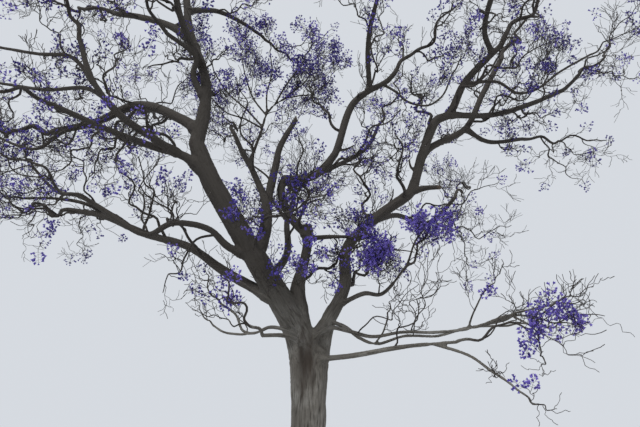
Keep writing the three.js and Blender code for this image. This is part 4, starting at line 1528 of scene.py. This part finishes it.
def shade_and_stain_at(points):
    """How much painted shade of the hollow, with its damp stain, the trunk's front gets: most in the
    middle of the valley under the fork.
    """
    across = (points[:, 0] - SHADE_STAIN_MIDDLE[0]) / SHADE_STAIN_SIZE[0]
    up = (points[:, 2] - SHADE_STAIN_MIDDLE[1]) / SHADE_STAIN_SIZE[1]
    ragged = np.array([noise.noise(Vector(point * SHADE_STAIN_GRAIN)) for point in points])
    return (1 - smooth(np.hypot(across, up) + SHADE_STAIN_RAGGED * ragged, *SHADE_STAIN_EDGE)) * (points[:, 1] < 0)


def cut_at_ground(mesh):
    """A flat cut under the trunk at the ground."""
    bm = bmesh.new()
    bm.from_mesh(mesh)
    parts = bm.verts[:] + bm.edges[:] + bm.faces[:]
    cut = bmesh.ops.bisect_plane(
        bm, geom=parts, plane_co=(0, 0, 0), plane_no=(0, 0, -1), clear_outer=True,
    )
    rim = [part for part in cut["geom_cut"] if isinstance(part, bmesh.types.BMEdge)]
    bmesh.ops.edgeloop_fill(bm, edges=rim)
    bm.to_mesh(mesh)
    bm.free()


def make_bark(name, voxel, depth):
    """One piece of bark, in place of the limbs that it covers."""
    mesh = grown_together(rough_limbs(name), name, voxel)
    if name == "trunk_bark":
        round_fork(mesh)
    dress_bark(mesh, limbs_of_piece(name), depth)
    if name == "trunk_bark":
        cut_at_ground(mesh)
    covered = [limb for limb in SOLID_LIMBS if piece_of(limb) == name]
    add_piece(name, mesh, bark_material(), covered)


def new_material(name):
    material = bpy.data.materials.get(name)
    if material:
        return material, None, None
    material = bpy.data.materials.new(name)
    material.use_nodes = True
    tree = material.node_tree
    return material, tree, tree.nodes["Principled BSDF"]


def node(tree, kind, **settings):
    made = tree.nodes.new(kind)
    for name, value in settings.items():
        if name in made.inputs:
            made.inputs[name].default_value = value
        else:
            setattr(made, name, value)
    return made


def noise_node(tree, coordinates, scale, detail=3.0, roughness=0.55):
    made = node(tree, "ShaderNodeTexNoise", Scale=scale, Detail=detail, Roughness=roughness)
    tree.links.new(coordinates, made.inputs["Vector"])
    return made.outputs["Fac"]


def mixed(tree, share, first, second):
    """A colour between two, each a colour or an output; the share is an output."""
    made = node(tree, "ShaderNodeMix", data_type="RGBA")
    tree.links.new(share, made.inputs[0])
    for socket, value in ((made.inputs[6], first), (made.inputs[7], second)):
        if isinstance(value, bpy.types.NodeSocket):
            tree.links.new(value, socket)
        else:
            socket.default_value = (*value, 1)
    return made.outputs[2]


def stretched(tree, coordinates, along):
    """Coordinates with the third one slowed down, for grain that runs along the wood."""
    made = node(tree, "ShaderNodeMapping")
    made.inputs["Scale"].default_value = (1, 1, along)
    tree.links.new(coordinates, made.inputs["Vector"])
    return made.outputs["Vector"]


def blended(tree, share, first, second):
    """A number between two outputs."""
    made = node(tree, "ShaderNodeMix", data_type="FLOAT")
    for socket, value in zip((made.inputs[0], made.inputs[2], made.inputs[3]), (share, first, second)):
        tree.links.new(value, socket)
    return made.outputs[0]


def ramp(tree, value, low, high):
    made = node(tree, "ShaderNodeMapRange", interpolation_type="SMOOTHSTEP")
    made.inputs["From Min"].default_value = low
    made.inputs["From Max"].default_value = high
    tree.links.new(value, made.inputs["Value"])
    return made.outputs["Result"]


def attribute(tree, name, output="Fac"):
    return node(tree, "ShaderNodeAttribute", attribute_name=name).outputs[output]


def add_bump(tree, shader, height, strength, distance):
    bump = node(tree, "ShaderNodeBump", Strength=strength, Distance=distance)
    tree.links.new(height, bump.inputs["Height"])
    tree.links.new(bump.outputs["Normal"], shader.inputs["Normal"])


def bark_material():
    """Light grey-brown ridges, dark furrows, and paler patches on the older wood; darker ridges in the
    crown, partly painted shade, and painted shade with a damp stain in the hollow under the fork.
    """
    settings = bpy.context.scene.jacaranda_bark
    material, tree, shader = new_material("furrowed_bark")
    if tree is None:
        return material
    place = node(tree, "ShaderNodeTexCoord").outputs["Object"]
    height = node(tree, "ShaderNodeSeparateXYZ")
    tree.links.new(place, height.inputs["Vector"])
    bark_at = attribute(tree, "bark_at", "Vector")
    own_grain = noise_node(tree, stretched(tree, bark_at, OWN_STRETCH), *OWN_GRAIN)
    fork_grain = noise_node(tree, stretched(tree, place, FORK_STRETCH), *FORK_GRAIN)
    grain = blended(tree, attribute(tree, "alone"), fork_grain, own_grain)
    patches = ramp(tree, noise_node(tree, place, *OLD_PATCHES), *PATCHES_FROM_TO)
    crown_shaded, furrow = tuple(settings.crown_shade_colour), tuple(settings.furrow_colour)
    old = mixed(tree, patches, tuple(settings.ridge_colour), tuple(settings.patch_colour))
    # The ridges darken up into the crown: partly the younger bark's own colour, partly painted shade of
    # the backlit crown
    ridges = mixed(tree, ramp(tree, height.outputs["Z"], *CROWN_SHADE_FROM_TO), old, crown_shaded)
    streaks = mixed(tree, ramp(tree, grain, *STREAKS_FROM_TO), furrow, ridges)
    wood = mixed(tree, ramp(tree, attribute(tree, "ridge"), *RIDGES_FROM_TO), furrow, streaks)
    # Painted shade of the hollow under the fork, together with a damp stain
    shaded_and_stained = mixed(tree, attribute(tree, "shade_and_stain"), wood, tuple(settings.shade_and_stain_colour))
    bare = mixed(tree, grain, tuple(settings.cut_colour), crown_shaded)
    finished = mixed(tree, attribute(tree, "cut"), shaded_and_stained, bare)
    tree.links.new(finished, shader.inputs["Base Color"])
    shader.inputs["Roughness"].default_value = 0.92
    shader.inputs["Specular IOR Level"].default_value = 0.25
    add_bump(tree, shader, grain, 0.55, 0.006)
    return material


def twig_material():
    """Young grey-brown bark, mottled along the twigs; its dark tone is partly the young bark's own and
    partly painted shade of the backlit crown.
    """
    settings = bpy.context.scene.jacaranda_twigs
    material, tree, shader = new_material("twig_bark")
    if tree is None:
        return material
    place = node(tree, "ShaderNodeTexCoord").outputs["Object"]
    mottle = ramp(tree, noise_node(tree, place, *TWIG_MOTTLE), *MOTTLE_FROM_TO)
    colour = mixed(tree, mottle, tuple(settings.dark_colour), tuple(settings.light_colour))
    tree.links.new(colour, shader.inputs["Base Color"])
    shader.inputs["Roughness"].default_value = 0.85
    shader.inputs["Specular IOR Level"].default_value = 0.3
    add_bump(tree, shader, noise_node(tree, place, *TWIG_GRAIN), 0.3, 0.002)
    return material


def petal_material(shade):
    """One shade of the blossom, a plain colour with the soft sheen of petals."""
    colour = getattr(bpy.context.scene.jacaranda_blossom, shade + "_colour")
    material, tree, shader = new_material(shade + "_petals")
    if tree is None:
        return material
    shader.inputs["Base Color"].default_value = (*colour, 1)
    shader.inputs["Roughness"].default_value = 0.65
    shader.inputs["Specular IOR Level"].default_value = 0.2
    shader.inputs["Sheen Weight"].default_value = 0.1
    shader.inputs["Sheen Roughness"].default_value = 0.5
    return material


def stalk_material():
    """Thin brown-green stalks inside the panicles, woody here and there."""
    green = tuple(bpy.context.scene.jacaranda_blossom.stalk_colour)
    woody = tuple(bpy.context.scene.jacaranda_twigs.light_colour)
    material, tree, shader = new_material("panicle_stalks")
    if tree is None:
        return material
    place = node(tree, "ShaderNodeTexCoord").outputs["Object"]
    mottle = ramp(tree, noise_node(tree, place, *STALK_MOTTLE), *MOTTLE_FROM_TO)
    tree.links.new(mixed(tree, mottle, green, woody), shader.inputs["Base Color"])
    shader.inputs["Roughness"].default_value = 0.75
    return material


def flower_shape():
    """One trumpet along +Z, of unit length: a narrow throat that opens into a five-lobed mouth."""
    fifth = 2 * math.pi * np.arange(5) / 5
    tenth = 2 * math.pi * np.arange(10) / 10
    across, up = THROAT
    throat = np.stack([across * np.cos(fifth), across * np.sin(fifth), np.full(5, up)], axis=1)
    is_lobe = np.arange(10) % 2 == 0
    wide = np.where(is_lobe, LOBE[0], NOTCH[0])
    deep = np.where(is_lobe, LOBE[1], NOTCH[1])
    mouth = np.stack([wide * np.cos(tenth), wide * np.sin(tenth), deep], axis=1)
    points = np.vstack([[[0, 0, 0]], throat, mouth])
    triangles = []
    for i in range(5):
        after = (i + 1) % 5
        low, high = 1 + i, 1 + after
        tip, notch, next_tip = 6 + 2 * i, 6 + (2 * i + 1) % 10, 6 + 2 * after
        triangles += [(0, high, low), (low, notch, tip), (low, high, notch), (high, next_tip, notch)]
    return points, np.array(triangles)


def panicle_kind(kind):
    """Where a panicle of unit length has its flowers and its stalks, pointing along +Z."""
    seed = mix(kind, FOR_SHADE)
    by_tier = FLOWERS_BY_TIER if kind < FULL_KINDS else FEWER_BY_TIER
    feet, ways, stalks = [], [], [[(0, 0, 0), (0, 0, TOP_FLOWER)]]
    for number in range(2 * PANICLE_TIERS):
        tier, half = divmod(number, 2)
        up = tier / (PANICLE_TIERS - 1)
        turn = tier * math.pi / 2 + half * math.pi + BRANCHLET_TURN * swing(seed, number)
        rise = BRANCHLET_RISE[0] + BRANCHLET_RISE[1] * swing(seed, BRANCHLET_SEEDS + number)
        out = np.array([math.cos(turn), math.sin(turn), rise])
        foot = np.array([0, 0, lerp(*TIER_HEIGHTS, up)])
        reach = lerp(*TIER_REACHES, up)
        stalks.append([foot, foot + out * reach])
        for flower in range(by_tier[tier]):
            place = FLOWER_SEEDS + number * 12 + flower * 4
            spread = np.array([swing(seed, place + axis) for axis in range(3)])
            feet.append(foot + out * reach * (1 - FLOWER_APART * flower) + FLOWER_SCATTER * spread)
            ways.append(unit(out + FLOWER_TILT * spread + np.array([0, 0, FLOWER_DROOP])))
    feet.append(np.array([0, 0, TOP_FLOWER]))
    ways.append(np.array(TOP_FLOWER_WAY))
    return np.array(feet), unit(np.array(ways)), np.array(stalks)


@dataclass
class Panicle:
    """A panicle on a twig's end: its foot, way, length, roll, kind and shade."""

    foot: np.ndarray
    way: np.ndarray
    size: float
    roll: float
    kind: int
    shade: int


def turned_to(ways, rolls):
    """Rotations that take +Z to each way, with a roll about it."""
    steep = np.abs(ways[:, 2:]) > NEARLY_UP
    side = unit(np.cross(ways, np.where(steep, FRONT, UP)))
    over = np.cross(ways, side)
    cos, sin = np.cos(rolls)[:, None], np.sin(rolls)[:, None]
    return np.stack([side * cos + over * sin, over * cos - side * sin, ways], axis=2)


def grow_panicles():
    """The panicles on the ends of the twigs."""
    settings = bpy.context.scene.jacaranda_blossom
    shares = {0: 1.0, 1: 1.0, 2: 1.0, 3: settings.fine_share, 4: settings.finest_share}
    grown = []
    for _, bloom, twigs in TWIG_GROUPS:
        for twig in twigs:
            thick = in_thick_blossom(twig.drawn[-1])
            if chance(twig.seed, FOR_BLOOM) < (THICK_SHARE if thick else bloom * shares[twig.level]):
                grown.append(grow_panicle(twig, thick, settings.panicle_length))
    return [panicle for panicle in grown if panicle]


def grow_panicle(twig, thick, length):
    """A panicle on a twig's end, or None where a limb is in its way."""
    foot = twig.drawn[-1]
    way = unit(unit(foot - twig.drawn[-2]) + PANICLE_LIFT * UP)
    size = length * (1 + PANICLE_SPREAD * swing(twig.seed, FOR_SPRAY_SIZE))
    if not clear_of_limbs(foot + way * size / 2, size / 4):
        return None
    roll = 2 * math.pi * chance(twig.seed, FOR_ROLL)
    kind = int((FULL_KINDS if thick else PANICLE_KINDS) * chance(twig.seed, FOR_SHADE + 1))
    # Thick clusters are mostly pale and the rest mostly deep: partly each spray's own tone, partly
    # painted shade of the backlit crown
    shade_at = chance(twig.carrier.seed if twig.carrier else twig.seed, FOR_SHADE)
    shade = sum(shade_at > limit for limit in (SHADES_IN_THICK if thick else BACKLIT_SHADES_ELSEWHERE))
    return Panicle(foot - way * PANICLE_SUNK, way, size, roll, kind, shade)


def flowers_of(panicles, kinds, length):
    """Points and triangles of every flower in some panicles."""
    shape, triangles = flower_shape()
    parts = []
    for kind, (feet, ways, _) in enumerate(kinds):
        some = [panicle for panicle in panicles if panicle.kind == kind]
        if not some:
            continue
        rolls = np.array([panicle.roll for panicle in some])
        turn = turned_to(np.stack([panicle.way for panicle in some]), rolls)
        base = np.stack([panicle.foot for panicle in some])
        sizes = np.array([panicle.size for panicle in some])
        at = base[:, None] + np.einsum("pij,fj->pfi", turn, feet) * sizes[:, None, None]
        facing = np.einsum("pij,fj->pfi", turn, ways).reshape(-1, 3)
        own_rolls = GOLDEN_TURN * np.arange(len(facing))
        lengths = length * (1 + FLOWER_SPREAD * np.sin(7 * own_rolls))
        own = turned_to(facing, own_rolls)
        points = at.reshape(-1, 1, 3) + np.einsum("nij,vj->nvi", own, shape) * lengths[:, None, None]
        starts = len(shape) * np.arange(len(facing))[:, None, None]
        parts.append((points.reshape(-1, 3), (triangles[None] + starts).reshape(-1, 3)))
    return join_arrays(parts)


def stalks_of(panicles, kinds):
    parts = []
    for panicle in panicles:
        turn = turned_to(panicle.way[None], np.array([panicle.roll]))[0]
        lines = panicle.foot + (kinds[panicle.kind][2] @ turn.T) * panicle.size
        parts.append(tubes(lines, np.full(lines.shape[:2], STALK_RADIUS), 3))
    return join_arrays(parts)


class BarkSettings(bpy.types.PropertyGroup):
    """The skin of trunk and boughs."""

    trunk_detail: bpy.props.FloatProperty(
        name="Trunk detail", description="Size of the squares in the trunk's mesh",
        default=0.014, min=0.006, unit="LENGTH",
    )
    leader_detail: bpy.props.FloatProperty(
        name="Leader detail", description="Size of the squares in the leaders' mesh",
        default=0.0185, min=0.008, unit="LENGTH",
    )
    bough_detail: bpy.props.FloatProperty(
        name="Bough detail", description="Size of the squares in the boughs' mesh",
        default=0.021, min=0.008, unit="LENGTH",
    )
    furrow_depth: bpy.props.FloatProperty(
        name="Furrow depth", description="From ridge to furrow on the trunk",
        default=0.022, min=0, unit="LENGTH",
    )
    ridge_colour: bpy.props.FloatVectorProperty(
        name="Ridges", description="Colour of the bark's ridges",
        default=(0.13, 0.12, 0.104), subtype="COLOR",
    )
    # Partly the crown's younger bark, partly painted shade of the backlit crown
    crown_shade_colour: bpy.props.FloatVectorProperty(
        name="Crown", description="Colour of the ridges in the crown",
        default=(0.052, 0.046, 0.04), subtype="COLOR",
    )
    furrow_colour: bpy.props.FloatVectorProperty(
        name="Furrows", description="Colour inside the furrows",
        default=(0.038, 0.033, 0.027), subtype="COLOR",
    )
    # The colour of the painted shade in the hollow under the fork, with its damp stain
    shade_and_stain_colour: bpy.props.FloatVectorProperty(
        name="Stain", description="Colour of the damp wood under the fork",
        default=(0.045, 0.036, 0.029),
        subtype="COLOR",
    )
    cut_colour: bpy.props.FloatVectorProperty(
        name="Bare wood", description="Colour of sawn and torn ends",
        default=(0.115, 0.08, 0.056), subtype="COLOR",
    )
    patch_colour: bpy.props.FloatVectorProperty(
        name="Pale patches", description="Colour of the paler patches",
        default=(0.2, 0.19, 0.17), subtype="COLOR",
    )


class TwigSettings(bpy.types.PropertyGroup):
    """The twigs' young bark, darkened partly as painted shade of the backlit crown."""

    light_colour: bpy.props.FloatVectorProperty(
        name="Light", description="Lighter colour of the twigs",
        default=(0.05, 0.043, 0.037), subtype="COLOR",
    )
    dark_colour: bpy.props.FloatVectorProperty(
        name="Dark", description="Darker colour of the twigs",
        default=(0.025, 0.021, 0.018), subtype="COLOR",
    )


class BlossomSettings(bpy.types.PropertyGroup):
    """The panicles and their flowers."""

    panicle_length: bpy.props.FloatProperty(
        name="Panicle length", description="Usual length of a panicle",
        default=0.215, min=0.05, unit="LENGTH",
    )
    flower_length: bpy.props.FloatProperty(
        name="Flower length", description="Usual length of a flower",
        default=0.05, min=0.01, unit="LENGTH",
    )
    fine_share: bpy.props.FloatProperty(
        name="Fine twigs in blossom", description="Against the share of a mass's main ends",
        default=0.27, min=0,
        max=1, subtype="FACTOR",
    )
    finest_share: bpy.props.FloatProperty(
        name="Finest twigs in blossom", description="Against the share of a mass's main ends",
        default=0.06, min=0,
        max=1, subtype="FACTOR",
    )
    pale_colour: bpy.props.FloatVectorProperty(
        name="Pale flowers", description="The palest of the three shades", default=(0.165, 0.12, 0.48),
        subtype="COLOR",
    )
    middle_colour: bpy.props.FloatVectorProperty(
        name="Middle flowers", description="The commonest shade",
        default=(0.1, 0.07, 0.38), subtype="COLOR",
    )
    deep_colour: bpy.props.FloatVectorProperty(
        name="Deep flowers", description="The deepest of the three shades", default=(0.058, 0.04, 0.27),
        subtype="COLOR",
    )
    stalk_colour: bpy.props.FloatVectorProperty(
        name="Stalks", description="Colour of the panicles' stalks",
        default=(0.09, 0.085, 0.05), subtype="COLOR",
    )


class StageSettings(bpy.types.PropertyGroup):
    """The floor, the light and the camera."""

    floor_size: bpy.props.FloatProperty(
        name="Floor size", description="Side of the square floor", default=400, min=20, unit="LENGTH",
    )
    floor_colour: bpy.props.FloatVectorProperty(
        name="Floor", description="Colour of the floor", default=(0.62, 0.63, 0.64), subtype="COLOR",
    )
    key_strength: bpy.props.FloatProperty(
        name="Key light", description="Strength of the main light", default=2.1,
    )
    fill_strength: bpy.props.FloatProperty(
        name="Fill light", description="Strength of the fill", default=0.4,
    )
    sky_strength: bpy.props.FloatProperty(
        name="Surround", description="Strength of the soft surround", default=0.78,
    )
    lens: bpy.props.FloatProperty(
        name="Lens", description="The camera's focal length", default=28.125, min=10, unit="CAMERA",
    )
    camera_height: bpy.props.FloatProperty(
        name="Camera height", description="The eye of someone who looks up", default=1.6, unit="LENGTH",
    )
    camera_distance: bpy.props.FloatProperty(
        name="Camera distance", description="In front of the trunk", default=9.2, unit="LENGTH",
    )
    camera_aside: bpy.props.FloatProperty(
        name="Camera aside", description="To the right of the trunk", default=0.34, unit="LENGTH",
    )
    camera_pitch: bpy.props.FloatProperty(
        name="Camera pitch", description="How far the camera looks up",
        default=math.radians(23), subtype="ANGLE",
    )


SETTINGS = {
    "jacaranda_bark": BarkSettings,
    "jacaranda_twigs": TwigSettings,
    "jacaranda_blossom": BlossomSettings,
    "jacaranda_stage": StageSettings,
}


class JACARANDA_OT_trunk(bpy.types.Operator):
    """Make the trunk's bark up to the fork"""

    bl_idname = "jacaranda.trunk"
    bl_label = "Trunk"

    def execute(self, context):
        bark = context.scene.jacaranda_bark
        make_bark("trunk_bark", bark.trunk_detail, bark.furrow_depth)
        return {"FINISHED"}


class JACARANDA_OT_leaders(bpy.types.Operator):
    """Make the bark of the leaders and their tops"""

    bl_idname = "jacaranda.leaders"
    bl_label = "Leaders"

    def execute(self, context):
        bark = context.scene.jacaranda_bark
        make_bark("leaders_bark", bark.leader_detail, bark.furrow_depth)
        return {"FINISHED"}


class JACARANDA_OT_boughs(bpy.types.Operator):
    """Make the bark of the side boughs, left and right"""

    bl_idname = "jacaranda.boughs"
    bl_label = "Boughs"

    def execute(self, context):
        bark = context.scene.jacaranda_bark
        for side in SIDES:
            make_bark(side + "_boughs_bark", bark.bough_detail, bark.furrow_depth)
        return {"FINISHED"}


class JACARANDA_OT_twigs(bpy.types.Operator):
    """Grow the twigs, in place of the solid masses"""

    bl_idname = "jacaranda.twigs"
    bl_label = "Twigs"

    def execute(self, context):
        for side in SIDES:
            mine = [twig for where, _, twigs in TWIG_GROUPS if where == side for twig in twigs]
            masses = [mass.name for mass in SPACES if side_of(mass.bough) == side]
            for kind, levels in TWIG_PIECES.items():
                arrays = twig_tubes([twig for twig in mine if twig.level in levels])
                name = side + "_" + kind
                nodes = masses if kind == "branchlets" else ()
                add_piece(name, mesh_from_triangles(name, *arrays), twig_material(), nodes)
        return {"FINISHED"}


class JACARANDA_OT_blossom(bpy.types.Operator):
    """Put panicles of flowers on the twigs' ends"""

    bl_idname = "jacaranda.blossom"
    bl_label = "Blossom"

    def execute(self, context):
        settings = context.scene.jacaranda_blossom
        kinds = [panicle_kind(kind) for kind in range(PANICLE_KINDS)]
        panicles = grow_panicles()
        for number, shade in enumerate(BLOSSOM_SHADES):
            some = [panicle for panicle in panicles if panicle.shade == number]
            arrays = flowers_of(some, kinds, settings.flower_length)
            mesh = mesh_from_triangles(shade + "_blossom", *arrays)
            add_piece(shade + "_blossom", mesh, petal_material(shade))
        mesh = mesh_from_triangles("blossom_stalks", *stalks_of(panicles, kinds))
        add_piece("blossom_stalks", mesh, stalk_material())
        return {"FINISHED"}


def add_sun(name, strength, azimuth, elevation, spread):
    """A soft light from a heading, measured as the headings of the boughs are."""
    light = bpy.data.lights.new(name, "SUN")
    light.energy = strength
    light.angle = math.radians(spread)
    lamp = bpy.data.objects.new(name, light)
    bpy.context.scene.collection.objects.link(lamp)
    lamp.rotation_euler = Vector(direction(azimuth, elevation)).to_track_quat("Z", "Y").to_euler()


def add_floor(settings):
    bm = bmesh.new()
    bmesh.ops.create_grid(bm, x_segments=1, y_segments=1, size=settings.floor_size / 2)
    mesh = bpy.data.meshes.new("floor")
    bm.to_mesh(mesh)
    bm.free()
    floor = bpy.data.objects.new("floor", mesh)
    bpy.context.scene.collection.objects.link(floor)
    material, _, shader = new_material("pale_floor")
    shader.inputs["Base Color"].default_value = (*settings.floor_colour, 1)
    shader.inputs["Roughness"].default_value = 0.9
    mesh.materials.append(material)


def add_camera(settings):
    camera = bpy.data.cameras.new("camera")
    camera.lens = settings.lens
    camera.sensor_width = 36
    camera.clip_end = 1000
    holder = bpy.data.objects.new("camera", camera)
    bpy.context.scene.collection.objects.link(holder)
    holder.location = (settings.camera_aside, -settings.camera_distance, settings.camera_height)
    holder.rotation_euler = (math.pi / 2 + settings.camera_pitch, 0, 0)
    bpy.context.scene.camera = holder


class JACARANDA_OT_stage(bpy.types.Operator):
    """Set up the pale floor, the soft light and the camera"""

    bl_idname = "jacaranda.stage"
    bl_label = "Stage"

    def execute(self, context):
        settings = context.scene.jacaranda_stage
        add_floor(settings)
        add_sun("key_light", settings.key_strength, *KEY_FROM)
        add_sun("fill_light", settings.fill_strength, *FILL_FROM)
        world = bpy.data.worlds.new("soft_surround")
        world.use_nodes = True
        surround = world.node_tree.nodes["Background"]
        surround.inputs["Color"].default_value = SURROUND_COLOUR
        surround.inputs["Strength"].default_value = settings.sky_strength
        context.scene.world = world
        context.scene.view_settings.view_transform = "Standard"
        add_camera(settings)
        return {"FINISHED"}


STEPS = (
    JACARANDA_OT_stage, JACARANDA_OT_trunk, JACARANDA_OT_leaders,
    JACARANDA_OT_boughs, JACARANDA_OT_twigs, JACARANDA_OT_blossom,
)


class JACARANDA_PT_tree(bpy.types.Panel):
    """The tree's pieces, in the order they are made"""

    bl_idname = "JACARANDA_PT_tree"
    bl_label = "Jacaranda"
    bl_space_type = "VIEW_3D"
    bl_region_type = "UI"
    bl_category = "Jacaranda"

    def draw(self, context):
        for step in STEPS:
            self.layout.operator(step.bl_idname)
        for settings in SETTINGS:
            box = self.layout.box()
            for name in SETTINGS[settings].__annotations__:
                box.prop(getattr(context.scene, settings), name)


def register():
    for kind in (*SETTINGS.values(), *STEPS, JACARANDA_PT_tree):
        bpy.utils.register_class(kind)
    for name, kind in SETTINGS.items():
        setattr(bpy.types.Scene, name, bpy.props.PointerProperty(type=kind))


def unregister():
    for name in SETTINGS:
        delattr(bpy.types.Scene, name)
    for kind in (JACARANDA_PT_tree, *reversed(STEPS), *reversed(SETTINGS.values())):
        bpy.utils.unregister_class(kind)


def main():
    register()
    bpy.ops.jacaranda.stage()
    bpy.ops.jacaranda.trunk()
    bpy.ops.jacaranda.leaders()
    bpy.ops.jacaranda.boughs()
    bpy.ops.jacaranda.twigs()
    bpy.ops.jacaranda.blossom()


if __name__ == "__main__":
    main()
